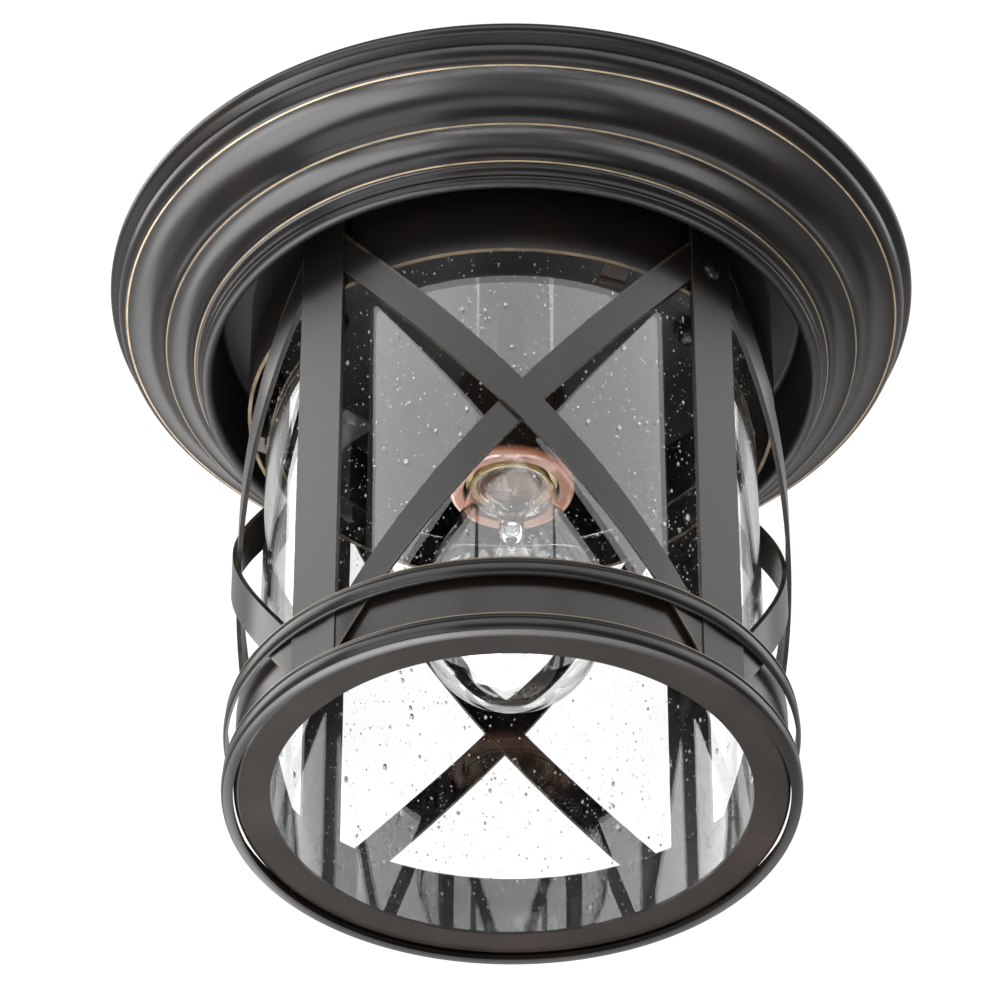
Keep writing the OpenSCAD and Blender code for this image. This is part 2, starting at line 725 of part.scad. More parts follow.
// The envelope's outside, from the tip up to the edge that is cemented into the cap: half a
// sphere, a taller shoulder, a neck that narrows to the socket, and a turn in to the cap
function envelope_face() = let (
    c = [0, bulb_centre],
    a = c + [bulb_r * cos(shoulder_turn), shoulder_h * sin(shoulder_turn)],
    rise = shoulder_h * cos(shoulder_turn) / (bulb_r * sin(shoulder_turn)),
    k = [neck_r, a[1] + (a[0] - neck_r) * rise],
    b = [neck_r, neck_low],
    top = cap_rim - 0.7)
    concat(
        oval(c, bulb_r, bulb_r, -90, 0, 18),
        [for (p = oval(c, bulb_r, shoulder_h, 0, shoulder_turn, 8)) if (p[1] > bulb_centre) p],
        blend(a, k, b, 9),
        blend(b, [neck_r, top], [seal_r, top], 5),
        [[seal_r, cap_rim + seal_top]]);

module bulb_envelope() {
    face = envelope_face();
    inner = reversed(beside(reversed(face), bulb_wall));
    // the wall's inside starts on the axis, above the tip
    inside = [for (p = inner) [max(p[0], 0), p[1]]];
    color(CLEAR) rotate_extrude() polygon(concat(face, reversed(inside)));
}

module bulb_cap() {
    outside = concat([[cap_r, cap_rim], [cap_r, cap_rim + 3]],
        thread(cap_r - thread_depth, thread_depth, cap_rim + 3.5, cap_top - 1.5),
        [[cap_r - 2.2, cap_top]]);
    color(BRASS) rotate_extrude() polygon(concat(outside,
        [[cap_mouth_r, cap_top], [cap_in_r, cap_top - 2], [cap_in_r, cap_rim]]));
}

module bulb_insulator() {
    color("#26262a") rotate_extrude() polygon([
        [cap_mouth_r - seat_gap, cap_top - 0.6], [cap_mouth_r - seat_gap, cap_top + 0.2],
        [insulator_r, lamp_top - contact_h], [0, lamp_top - contact_h], [0, cap_top - 0.6]]);
}

module bulb_contact() {
    color(ZINC) rotate_extrude() polygon(concat([[0, lamp_top - contact_h]],
        oval([0, lamp_top - contact_h], contact_r, contact_h, 0, 90, 6)));
}

// The mount: a hollow flare fused to the neck, a pressed seal, and a rod with a button
module bulb_stem() {
    top = [flare_r, cap_rim + flare_h];
    foot = [flare_foot_r, flare_foot];
    flare = concat([top],
        blend(top, [flare_r - flare_lip, cap_rim - flare_lip], foot, 6),
        blend(foot, [stem_r, flare_foot - neck_run], [stem_r, stem_low], 4));
    press = blend([stem_r, stem_low], [stem_r, press_low + rod_r], [rod_r, press_low], 4);
    button = oval([0, button_z], button_r, button_h, 50, -90, 6);
    color(CLEAR) rotate_extrude() polygon(concat(
        flare, press, [[rod_r, button_z + button_h]], button,
        [[0, stem_low]], reversed(beside(flare, bulb_wall))));
}

module bulb_leads() {
    color(ZINC) {
        for (s = [-1, 1])
            rod([s * lead_top[0], 0, lead_top[1]], [s * lead_spread, 0, lead_low], lead_r);
        rod([0, 0, button_z - button_h], [0, 0, lead_low + hook_h], lead_r);
    }
}

// Two straight runs, from the leads' ends up to the hook in the middle
module bulb_filament() {
    end_x = lead_spread - lead_r - seat_gap;
    mid_z = lead_low + filament_lift - lead_r - filament_r - seat_gap;
    color("#55504a") for (s = [-1, 1])
        rod([s * end_x, 0, lead_low - filament_sag], [s * 2 * filament_r, 0, mid_z], filament_r);
}

// ---------------------------------------------------------------- drawing

ceiling_pan();
pan_tabs();
tab_rivets();
mounting_crossbar();
hanging_studs();
stud_locknuts();
cap_nuts();
ground_screw();
socket_nipple();
nipple_locknuts();
socket_bracket();
bracket_screws();
lamp_socket();
socket_shell();
socket_contact();
cage_collar();
cage_screws();
glass_clips();
upright_front_right();
upright_rear_right();
upright_rear_left();
upright_front_left();
strap_front_over();
strap_right_over();
strap_rear_over();
strap_left_over();
strap_front_under();
strap_right_under();
strap_rear_under();
strap_left_under();
base_ring();
upper_hoop();
lower_hoop();
glass_cylinder();
bulb_envelope();
bulb_cap();
bulb_insulator();
bulb_contact();
bulb_stem();
bulb_leads();
bulb_filament();
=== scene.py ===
"""Looks of a porch ceiling lantern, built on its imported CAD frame.

The ceiling is the plane z = 0 and the lantern hangs below it. The side that the
photograph shows is -Y. Lengths in the fields below are millimetres, and meshes are metres.
"""

import logging
import math
from dataclasses import dataclass
from enum import Enum
from typing import Any, Mapping, Sequence, Union

import bmesh
import bpy
import numpy as np
from mathutils import Matrix


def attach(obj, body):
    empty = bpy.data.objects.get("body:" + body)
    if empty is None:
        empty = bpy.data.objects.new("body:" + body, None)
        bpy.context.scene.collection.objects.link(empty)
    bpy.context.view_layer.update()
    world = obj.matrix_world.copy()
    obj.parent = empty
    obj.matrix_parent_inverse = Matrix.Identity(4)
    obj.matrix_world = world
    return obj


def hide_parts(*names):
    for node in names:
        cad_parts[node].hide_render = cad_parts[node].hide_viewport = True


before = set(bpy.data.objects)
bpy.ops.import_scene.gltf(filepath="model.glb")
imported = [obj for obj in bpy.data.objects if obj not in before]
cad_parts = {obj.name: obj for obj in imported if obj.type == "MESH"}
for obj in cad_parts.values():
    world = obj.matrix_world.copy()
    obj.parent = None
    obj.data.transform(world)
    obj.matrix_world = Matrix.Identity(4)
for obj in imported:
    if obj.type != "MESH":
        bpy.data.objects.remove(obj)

log = logging.getLogger("lantern")
Number = Union[float, "Wire"]
Colour = tuple[float, float, float]
Pair = tuple[float, float]

MM = 0.001
# Metres: points nearer than WELD are joined, and edges shorter than SLIVER are taken out.
WELD, SLIVER = 2e-6, 1e-7
# Millimetres: what a tube's ends are drawn together to.
TIP = 1e-6
# New and tarnished brass.
BRASS: tuple[Colour, Colour] = ((0.88, 0.70, 0.40), (0.76, 0.57, 0.29))


# --------------------------------------------------------------------------- shader maths


class Wire:
    """A number flowing through a shader. Arithmetic on it adds Math nodes."""

    def __init__(self, net: "Net", socket: bpy.types.NodeSocket) -> None:
        """Takes hold of a socket.

        Args:
            net: the node tree that the socket belongs to.
            socket: the output socket that carries the number.
        """
        self.net = net
        self.socket = socket

    def _math(self, operation: str, *values: Any) -> "Wire":
        """Adds one Math node.

        Args:
            operation: the Math node's operation.
            values: its operands, numbers or wires.

        Returns:
            The result as a wire.
        """
        made = self.net.node("ShaderNodeMath", {"operation": operation}, dict(enumerate(values)))
        return Wire(self.net, made.outputs[0])

    def __add__(self, other: Number) -> "Wire":
        """Sum."""
        return self._math("ADD", self, other)

    __radd__ = __add__

    def __sub__(self, other: Number) -> "Wire":
        """Difference."""
        return self._math("SUBTRACT", self, other)

    def __rsub__(self, other: Number) -> "Wire":
        """Reflected difference."""
        return self._math("SUBTRACT", other, self)

    def __mul__(self, other: Number) -> "Wire":
        """Product."""
        return self._math("MULTIPLY", self, other)

    __rmul__ = __mul__

    def __pow__(self, power: Number) -> "Wire":
        """Power."""
        return self._math("POWER", self, power)

    def __neg__(self) -> "Wire":
        """Negative."""
        return self._math("MULTIPLY", self, -1.0)

    def __abs__(self) -> "Wire":
        """Absolute value."""
        return self._math("ABSOLUTE", self)

    def root(self) -> "Wire":
        """Square root."""
        return self._math("SQRT", self)

    def sine(self) -> "Wire":
        """Sine of an angle in radians."""
        return self._math("SINE", self)

    def least(self, other: Number) -> "Wire":
        """The smaller of two."""
        return self._math("MINIMUM", self, other)

    def bearing(self, other: Number) -> "Wire":
        """Angle of the point (other, self), in radians."""
        return self._math("ARCTAN2", self, other)

    def wrapped(self, low: float, high: float) -> "Wire":
        """The value brought into a range by whole turns of it."""
        return self._math("WRAP", self, high, low)

    def step(self, low: float, high: float) -> "Wire":
        """A smooth step.

        Args:
            low: where the step is 0; it may lie above high for a falling step.
            high: where the step is 1.

        Returns:
            0 to 1, with flat ends.
        """
        made = self.net.node(
            "ShaderNodeMapRange",
            {"interpolation_type": "SMOOTHSTEP"},
            {"Value": self, "From Min": low, "From Max": high},
        )
        return Wire(self.net, made.outputs["Result"])


class Net:
    """A node tree, with one method that makes any node."""

    def __init__(self, tree: bpy.types.NodeTree) -> None:
        """Takes hold of a tree.

        Args:
            tree: the tree, which is emptied.
        """
        self.tree = tree
        self.tree.nodes.clear()

    def node(
        self,
        kind: str,
        settings: Mapping[str, Any] | None = None,
        sockets: Mapping[Any, Any] | None = None,
    ) -> bpy.types.Node:
        """Makes a node, sets its settings first, then its sockets.

        Args:
            kind: the node's type name.
            settings: properties of the node; "stops" fills a colour ramp from pairs of a
                place and a colour.
            sockets: inputs by name or number, each a value, a Wire or an output socket.

        Returns:
            The node.
        """
        made = self.tree.nodes.new(kind)
        for name, value in (settings or {}).items():
            if name == "stops":
                ramp = made.color_ramp.elements
                while len(ramp) < len(value):
                    ramp.new(1.0)
                for stop, (place, colour) in zip(ramp, value):
                    stop.position, stop.color = place, (*colour, 1.0)
            else:
                setattr(made, name, value)
        for name, value in (sockets or {}).items():
            if isinstance(value, Wire):
                value = value.socket
            if isinstance(value, bpy.types.NodeSocket):
                self.tree.links.new(value, made.inputs[name])
            elif isinstance(value, tuple) and len(value) == 3 and made.inputs[name].type == "RGBA":
                made.inputs[name].default_value = (*value, 1.0)
            else:
                made.inputs[name].default_value = value
        return made

    def mix(self, amount: Number, first: Any, second: Any) -> bpy.types.NodeSocket:
        """Mixes two colours.

        Args:
            amount: 0 gives the first and 1 the second.
            first: a colour or a colour socket.
            second: a colour or a colour socket.

        Returns:
            The mixed colour's socket.
        """
        made = self.node("ShaderNodeMix", {"data_type": "RGBA"}, {0: amount, 6: first, 7: second})
        return made.outputs[2]


class Shader(Net):
    """One material's node tree, on Object coordinates in millimetres."""

    def __init__(self, name: str) -> None:
        """Starts a material, with its output and its coordinates.

        Args:
            name: the material's name.
        """
        self.material = bpy.data.materials.new(name)
        self.material.use_nodes = True
        super().__init__(self.material.node_tree)
        self.output = self.node("ShaderNodeOutputMaterial")
        place = self.node("ShaderNodeTexCoord")
        self.place = place.outputs["Object"]
        split = self.node("ShaderNodeSeparateXYZ", sockets={"Vector": self.place})
        scale = 1.0 / MM
        self.x = Wire(self, split.outputs["X"]) * scale
        self.y = Wire(self, split.outputs["Y"]) * scale
        self.z = Wire(self, split.outputs["Z"]) * scale

    def noise(self, size: float, detail: float = 3.0, stretch: Colour = (1.0, 1.0, 1.0)) -> Wire:
        """Noise on Object coordinates.

        Args:
            size: the width of its blotches, in millimetres.
            detail: how many finer layers it has.
            stretch: scale along each axis.

        Returns:
            A value about 0.5.
        """
        where = self.node("ShaderNodeMapping", sockets={"Vector": self.place, "Scale": stretch})
        made = self.node(
            "ShaderNodeTexNoise",
            sockets={"Vector": where.outputs[0], "Scale": 1.0 / (size * MM), "Detail": detail},
        )
        return Wire(self, made.outputs[0])

    def radius(self) -> Wire:
        """Distance from the lantern's middle line, in millimetres."""
        return (self.x * self.x + self.y * self.y).root()

    def bump(self, height: Number, depth: float) -> bpy.types.NodeSocket:
        """A bump whose height of 1 is depth millimetres."""
        sockets = {"Strength": 1.0, "Distance": depth * MM, "Height": height}
        return self.node("ShaderNodeBump", sockets=sockets).outputs["Normal"]

    def surface(self, **inputs: Any) -> bpy.types.Material:
        """Ends the tree in one Principled BSDF.

        Args:
            inputs: its inputs, with _ for each space in a name.

        Returns:
            The finished material.
        """
        named = {name.replace("_", " "): value for name, value in inputs.items()}
        made = self.node("ShaderNodeBsdfPrincipled", sockets=named)
        self.tree.links.new(made.outputs[0], self.output.inputs["Surface"])
        return self.material


# --------------------------------------------------------------------------- finishes


class Wear(Enum):
    """Where the dark finish is rubbed through to gold."""

    STEPS = "the edges of the pan's steps"
    HOOP = "a hoop's top edge"
    UPRIGHT = "both long edges of an upright"
    OVER = "both edges of an outer crossed strap"
    UNDER = "both edges of an inner crossed strap"
    RING = "the base ring's top edge"
    COLLAR = "the collar's lower edge"
    NONE = "nowhere"


# How far an edge is rubbed: the least of it, and how much its patches add.
RUB: dict[Wear, Pair] = {
    Wear.STEPS: (0.6, 0.4),
    Wear.HOOP: (0.5, 0.35),
    Wear.UPRIGHT: (0.01, 0.09),
    Wear.OVER: (0.01, 0.09),
    Wear.UNDER: (0.01, 0.09),
    Wear.RING: (0.1, 0.2),
    Wear.COLLAR: (0.2, 0.3),
}


@dataclass(frozen=True)
class Bronze:
    """Oil-rubbed bronze: a near-black satin brown that is worn to gold on its edges.

    An edge's band says where the wear begins and where it is full. It is measured from a
    step's edge, from the height called level, or out from a piece's own middle line, and a
    face's band is measured out from the lantern's middle line.
    """

    wear: Wear = Wear.NONE
    level: float = 0.0
    dark: Colour = (0.0058, 0.0052, 0.0050)
    warm: Colour = (0.0105, 0.0074, 0.0057)
    gold: Colour = (0.31, 0.23, 0.14)
    shine: float = 0.5
    roughness: float = 0.25
    steps: tuple[Pair, ...] = ((133.8, -14.8), (119.75, -27.95), (109.65, -35.35))
    step_edge: Pair = (0.42, 0.16)
    hoop_edge: Pair = (-0.55, -0.15)
    hoop_face: Pair = (93.4, 93.9)
    ring_edge: Pair = (-0.9, -0.1)
    collar_edge: Pair = (-0.5, -0.1)
    upright_edge: Pair = (9.15, 9.5)
    upright_face: Pair = (91.5, 92.3)
    strap_edge: Pair = (7.9, 8.45)
    strap_middle: float = -123.1
    strap_slope: float = 2.0
    out_of_reach: float = 9.0
    patch_size: float = 9.0
    patchy: Pair = (0.30, 0.62)
    blotch_size: float = 38.0
    blotchy: Pair = (0.42, 0.72)
    blotch_share: float = 0.6
    grain_size: float = 0.9
    grain_height: float = 0.15
    uneven: Pair = (0.10, 0.05)
    rubbed_rough: float = 0.12
    recess: Pair = (107.5, 105.0)
    recess_rough: float = 0.24
    specular: float = 0.34
    depth: float = 0.03

    def edge(self, s: Shader) -> Wire:
        """How near each point lies to an edge that wears.

        Distances are worked out from the pieces' own rules: a step's edge is a circle, an
        upright's edge is a line at a given width from its middle, and a crossed strap's
        middle falls or climbs by strap_slope millimetres a degree from each side's middle.

        Args:
            s: the material's nodes.

        Returns:
            0 to 1.
        """
        radius, quarter = s.radius(), math.pi / 4
        if self.wear is Wear.STEPS:
            far: Number = self.out_of_reach
            for r, z in self.steps:
                far = ((radius - r) ** 2.0 + (s.z - z) ** 2.0).root().least(far)
            return far.step(*self.step_edge)
        if self.wear is Wear.HOOP:
            return (s.z - self.level).step(*self.hoop_edge) * radius.step(*self.hoop_face)
        if self.wear is Wear.RING:
            return (s.z - self.level).step(*self.ring_edge)
        if self.wear is Wear.COLLAR:
            return (self.level - s.z).step(*self.collar_edge)
        turn = s.x.bearing(-s.y)
        if self.wear is Wear.UPRIGHT:
            across = abs((turn - quarter).wrapped(-quarter, quarter).sine() * radius)
            return across.step(*self.upright_edge) * radius.step(*self.upright_face)
        side = turn.wrapped(-quarter, quarter) * math.degrees(1.0)
        slope = self.strap_slope if self.wear is Wear.UNDER else -self.strap_slope
        return abs(s.z - self.strap_middle - side * slope).step(*self.strap_edge)

    def worn(self, s: Shader) -> Number:
        """How far each point is rubbed: its nearness to an edge times a patchy amount.

        Args:
            s: the material's nodes.

        Returns:
            0 to 1.
        """
        if self.wear is Wear.NONE:
            return 0.0
        least, more = RUB[self.wear]
        patch = s.noise(self.patch_size, 4.0).step(*self.patchy)
        return self.edge(s) * (patch * more + least)

    def material(self, name: str) -> bpy.types.Material:
        """Builds the material.

        Args:
            name: the material's name.

        Returns:
            The material.
        """
        s = Shader(name)
        blotch = s.noise(self.blotch_size, 3.0)
        grain = s.noise(self.grain_size, 2.0)
        colour = s.mix(blotch.step(*self.blotchy) * self.blotch_share, self.dark, self.warm)
        rub = self.worn(s)
        broad, fine = self.uneven
        rough = (blotch - 0.5) * broad + (grain - 0.5) * fine + self.roughness
        if self.wear is not Wear.NONE:
            colour = s.mix(rub, colour, self.gold)
            rough = rough + rub * self.rubbed_rough
        if self.wear is Wear.STEPS:
            rough = rough + s.radius().step(*self.recess) * self.recess_rough
        return s.surface(
            Base_Color=colour,
            Metallic=rub * self.shine,
            Roughness=rough,
            Specular_IOR_Level=self.specular,
            Normal=s.bump(grain * self.grain_height + blotch, self.depth),
        )


@dataclass(frozen=True)
class Plated:
    """A plated or plain metal with fine rolling marks.

    It can have a screw thread in its relief, and pale cement inside a given radius.
    """

    colour: Colour
    dull: Colour
    roughness: float = 0.28
    metallic: float = 1.0
    thread: float = 0.0
    coat: float = 0.0
    cement: Colour = (0.90, 0.70, 0.34)
    cement_r: float = 0.0
    cement_edge: float = 0.1
    blotch_size: float = 7.0
    tarnish: Pair = (0.35, 0.7)
    grain_size: float = 1.2
    grain_height: float = 0.25
    rolled: Colour = (1.0, 8.0, 8.0)
    thread_height: float = 6.0
    uneven: Pair = (0.25, 0.12)
    coat_roughness: float = 0.1
    depth: float = 0.02

    def material(self, name: str) -> bpy.types.Material:
        """Builds the material.

        Args:
            name: the material's name.

        Returns:
            The material.
        """
        s = Shader(name)
        blotch = s.noise(self.blotch_size, 4.0)
        grain = s.noise(self.grain_size, 3.0, self.rolled)
        height: Number = grain * self.grain_height + blotch
        if self.thread:
            height = height + (s.z * (2 * math.pi / self.thread)).sine() * self.thread_height
        colour = s.mix(blotch.step(*self.tarnish), self.colour, self.dull)
        metallic: Number = self.metallic
        if self.cement_r:
            inside = s.radius().step(self.cement_r + self.cement_edge, self.cement_r)
            colour = s.mix(inside, colour, self.cement)
            metallic = (1.0 - inside) * self.metallic
        broad, fine = self.uneven
        return s.surface(
            Base_Color=colour,
            Metallic=metallic,
            Roughness=(blotch - 0.5) * broad + (grain - 0.5) * fine + self.roughness,
            Coat_Weight=self.coat,
            Coat_Roughness=self.coat_roughness,
            Normal=s.bump(height, self.depth),
        )


@dataclass(frozen=True)
class ClearGlass:
    """Clear glass, with a faint drawn ripple."""

    tint: Colour = (0.985, 0.995, 0.99)
    ior: float = 1.5
    ripple: float = 0.0
    ripple_size: float = 30.0
    drawn: Colour = (1.0, 1.0, 0.35)
    tinted: Pair = (0.2, 0.8)
    # Below 1, the rest is matt in the base colour; the seeds use this for a painted glint.
    clear: float = 1.0

    def material(self, name: str) -> bpy.types.Material:
        """Builds the material.

        Args:
            name: the material's name.

        Returns:
            The material.
        """
        s = Shader(name)
        wave = s.noise(self.ripple_size, 1.5, self.drawn)
        named: dict[str, Any] = {
            "Base_Color": s.mix(wave.step(*self.tinted), self.tint, (1.0, 1.0, 1.0)),
            "Roughness": 0.0,
            "IOR": self.ior,
            "Transmission_Weight": self.clear,
        }
        if self.ripple:
            named["Normal"] = s.bump(wave, self.ripple)
        return s.surface(**named)


@dataclass(frozen=True)
class Porcelain:
    """Glazed porcelain: terracotta pink with fine crazing, a painted highlight at its rim and
    near-black painted shade above it.

    The bands are heights above the rim: the first is a painted highlight, paler just at the rim,
    and the second is where the pink gives way to the near-black painted shade of the wall above.
    """

    body: Colour = (0.52, 0.19, 0.10)
    # Pale: the painted highlight at the rim, and the paler clouds of random tone.
    pale: Colour = (0.66, 0.48, 0.41)
    # Near black: painted shade on the wall above the rim, where the pan and collar keep light off.
    painted_shade: Colour = (0.022, 0.015, 0.012)
    rim: float = -88.6
    # Band just at the rim where the painted highlight is paler.
    thin: Pair = (0.9, 0.1)
    # Where the pink gives way to the near-black painted shade.
    painted_shade_band: Pair = (1.6, 4.0)
    # How much paler: first the painted highlight at the rim, then the random clouds.
    paler_highlight_and_clouds: Pair = (0.3, 0.2)
    cloud_size: float = 8.0
    cloudy: Pair = (0.45, 0.75)
    craze_size: float = 0.8
    roughness: Pair = (0.06, 0.12)
    relief: Pair = (2.0, 0.4)
    coat: float = 0.8
    coat_roughness: float = 0.05
    depth: float = 0.04

    def material(self, name: str) -> bpy.types.Material:
        """Builds the material.

        Args:
            name: the material's name.

        Returns:
            The material.
        """
        s = Shader(name)
        cloud = s.noise(self.cloud_size, 4.0)
        craze = s.noise(self.craze_size, 2.0)
        above = s.z - self.rim
        rim_highlight, by_cloud = self.paler_highlight_and_clouds
        # Paler at the rim as a painted highlight, and in random clouds of tone.
        pale = above.step(*self.thin) * rim_highlight + cloud.step(*self.cloudy) * by_cloud
        # Pink below and near-black painted shade above; the paler part is a painted highlight at
        # the rim.
        colour = s.mix(above.step(*self.painted_shade_band), s.mix(pale, self.body, self.pale), self.painted_shade)
        least, more = self.roughness
        broad, fine = self.relief
        return s.surface(
            Base_Color=colour,
            Roughness=cloud * more + least,
            Coat_Weight=self.coat,
            Coat_Roughness=self.coat_roughness,
            Normal=s.bump(cloud * broad + craze * fine, self.depth),
        )


@dataclass(frozen=True)
class Filament:
    """Drawn tungsten, grey and unlit."""

    colour: Colour = (0.22, 0.20, 0.19)
    pale: Colour = (0.34, 0.31, 0.28)
    roughness: Pair = (0.25, 0.2)

    def material(self, name: str) -> bpy.types.Material:
        """Builds the material.

        Args:
            name: the material's name.

        Returns:
            The material.
        """
        s = Shader(name)
        tone = s.noise(1.0)
        least, more = self.roughness
        colour = s.mix(tone, self.colour, self.pale)
        return s.surface(Base_Color=colour, Metallic=1.0, Roughness=tone * more + least)


# --------------------------------------------------------------------------- surfaces


@dataclass(frozen=True)
class Patch:
    """A grid surface: points (n, 3) in millimetres and quads (m, 4)."""

    points: np.ndarray
    quads: np.ndarray


def quad_grid(rows: int, cols: int, wrap_rows: bool, wrap_cols: bool) -> np.ndarray:
    """Corner numbers of every cell of a grid.

    Args:
        rows: how many rows of points.
        cols: how many points in a row.
        wrap_rows: the last row joins the first.
        wrap_cols: each row's last point joins its first.

    Returns:
        (cells, 4) point numbers.
    """
    i = np.arange(rows if wrap_rows else rows - 1)[:, None]
    j = np.arange(cols if wrap_cols else cols - 1)[None, :]
    i1, j1 = (i + 1) % rows, (j + 1) % cols
    corners = [i * cols + j, i * cols + j1, i1 * cols + j1, i1 * cols + j]
    shape = (i.shape[0], j.shape[1])
    return np.stack([np.broadcast_to(c, shape) for c in corners], -1).reshape(-1, 4)


def revolve(profile: np.ndarray, steps: int = 192, closed: bool = True) -> Patch:
    """Turns a profile of (r, z) once round the z axis: (r cos a, r sin a, z).

    Args:
        profile: (n, 2) radii and heights.
        steps: how many sectors.
        closed: the profile's last point joins its first.

    Returns:
        The surface.
    """
    a = np.linspace(0.0, 2 * np.pi, steps, endpoint=False)[None, :]
    r, z = profile[:, 0][:, None], profile[:, 1][:, None]
    points = np.stack([r * np.cos(a), r * np.sin(a), z + 0 * a], -1).reshape(-1, 3)
    return Patch(points, quad_grid(len(profile), steps, closed, True))


def tube_along(path: np.ndarray, radius: float, sides: int = 8) -> Patch:
    """Carries a circle along a path, in frames square to it.

    Each ring is path + radius (u cos b + v sin b), where u is square to the path and to a
    fixed direction and v to both.

    Args:
        path: (n, 3) points.
        radius: the circle's radius.
        sides: points in a ring.

    Returns:
        The surface, with its ends drawn together.
    """
    along = np.gradient(path, axis=0)
    along /= np.linalg.norm(along, axis=1)[:, None]
    fixed = np.array([0.0, 1.0, 0.05]) / np.linalg.norm([0.0, 1.0, 0.05])
    u = np.cross(along, fixed)
    u /= np.linalg.norm(u, axis=1)[:, None]
    v = np.cross(along, u)
    b = np.linspace(0, 2 * np.pi, sides, endpoint=False)
    size = np.full(len(path), radius)
    size[[0, -1]] = TIP
    ring = u[:, None, :] * np.cos(b)[None, :, None] + v[:, None, :] * np.sin(b)[None, :, None]
    points = path[:, None, :] + ring * size[:, None, None]
    return Patch(points.reshape(-1, 3), quad_grid(len(path), sides, False, True))


def oval(cx: float, cz: float, rx: float, rz: float, a0: float, a1: float, n: int) -> np.ndarray:
    """Points (cx + rx cos a, cz + rz sin a) for a from a0 to a1 degrees."""
    a = np.radians(np.linspace(a0, a1, n))
    return np.stack([cx + rx * np.cos(a), cz + rz * np.sin(a)], -1)


def cove(a: Sequence[float], b: Sequence[float], n: int) -> np.ndarray:
    """A quarter ellipse on from a flat start at a to a steep end at b.

    Args:
        a: where it starts; this point is left out.
        b: where it ends.
        n: how many points.

    Returns:
        (n, 2) points b + (a - b)(1 - sin t) across and a + (b - a)(1 - cos t) down.
    """
    t = np.radians(np.linspace(0, 90, n + 1)[1:])
    r, z = b[0] + (a[0] - b[0]) * (1 - np.sin(t)), a[1] + (b[1] - a[1]) * (1 - np.cos(t))
    return np.stack([r, z], -1)


def blend(a: Sequence[float], k: Sequence[float], b: Sequence[float], n: int) -> np.ndarray:
    """A parabola on from a to b along the lines to k: a (1 - t)^2 + 2 k t (1 - t) + b t^2."""
    t = np.linspace(0, 1, n + 1)[1:, None]
    return np.array(a) * (1 - t) ** 2 + np.array(k) * 2 * t * (1 - t) + np.array(b) * t**2


def beside(path: np.ndarray, gap: float) -> np.ndarray:
    """The same path moved to its right-hand side, with mitred corners.

    Each point moves along the mean of the right-hand directions before and after it, by gap
    over the cosine of half the turn.

    Args:
        path: (n, 2) points.
        gap: how far it moves.

    Returns:
        (n, 2) points.
    """
    step = np.diff(path, axis=0)
    step /= np.linalg.norm(step, axis=1)[:, None]
    right = np.stack([step[:, 1], -step[:, 0]], -1)
    before, after = np.vstack([right[:1], right]), np.vstack([right, right[-1:]])
    mean = before + after
    mean /= np.linalg.norm(mean, axis=1)[:, None]
    reach = np.maximum(0.5, np.sum(mean * before, axis=1))
    return path + mean * (gap / reach)[:, None]


def make_piece(
    name: str,
    patches: Sequence[Patch],
    material: bpy.types.Material,
    body: str,
    replaces: Sequence[str] = (),
    sharp: float = 38.0,
) -> bpy.types.Object:
    """Puts surfaces into one mesh object, closes its poles and turns its faces outwards.

    Args:
        name: the object's name.
        patches: the surfaces.
        material: its finish.
        body: the body that it rides on.
        replaces: CAD nodes that it stands for.
        sharp: edges that turn by more than this many degrees stay sharp.

    Returns:
        The object.
    """
    starts = np.cumsum([0] + [len(p.points) for p in patches[:-1]])
    points = np.vstack([p.points for p in patches]) * MM
    quads = np.vstack([p.quads + s for p, s in zip(patches, starts)])
    mesh = bpy.data.meshes.new(name)
    mesh.from_pydata(points.tolist(), [], quads.tolist())
    work = bmesh.new()
    work.from_mesh(mesh)
    bmesh.ops.remove_doubles(work, verts=work.verts, dist=WELD)
    bmesh.ops.dissolve_degenerate(work, edges=work.edges, dist=SLIVER)
    bmesh.ops.recalc_face_normals(work, faces=work.faces)
    work.to_mesh(mesh)
    work.free()
    mesh.polygons.foreach_set("use_smooth", np.ones(len(mesh.polygons), dtype=bool))
    mesh.set_sharp_from_angle(angle=math.radians(sharp))
    mesh.materials.append(material)
    made = bpy.data.objects.new(name, mesh)
    bpy.context.scene.collection.objects.link(made)
    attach(made, body)
    if replaces:
        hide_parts(*replaces)
    log.info("%s: %d faces", name, len(mesh.polygons))
    return made


def dress(material: bpy.types.Material, *nodes: str) -> None:
    """Gives CAD nodes a material.

    Args:
        material: the finish.
        nodes: the nodes' names.
    """
    for name in nodes:
        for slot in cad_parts[name].material_slots:
            slot.material = material
        log.info("%s: dressed in %s", name, material.name)


# --------------------------------------------------------------------------- sub-assemblies


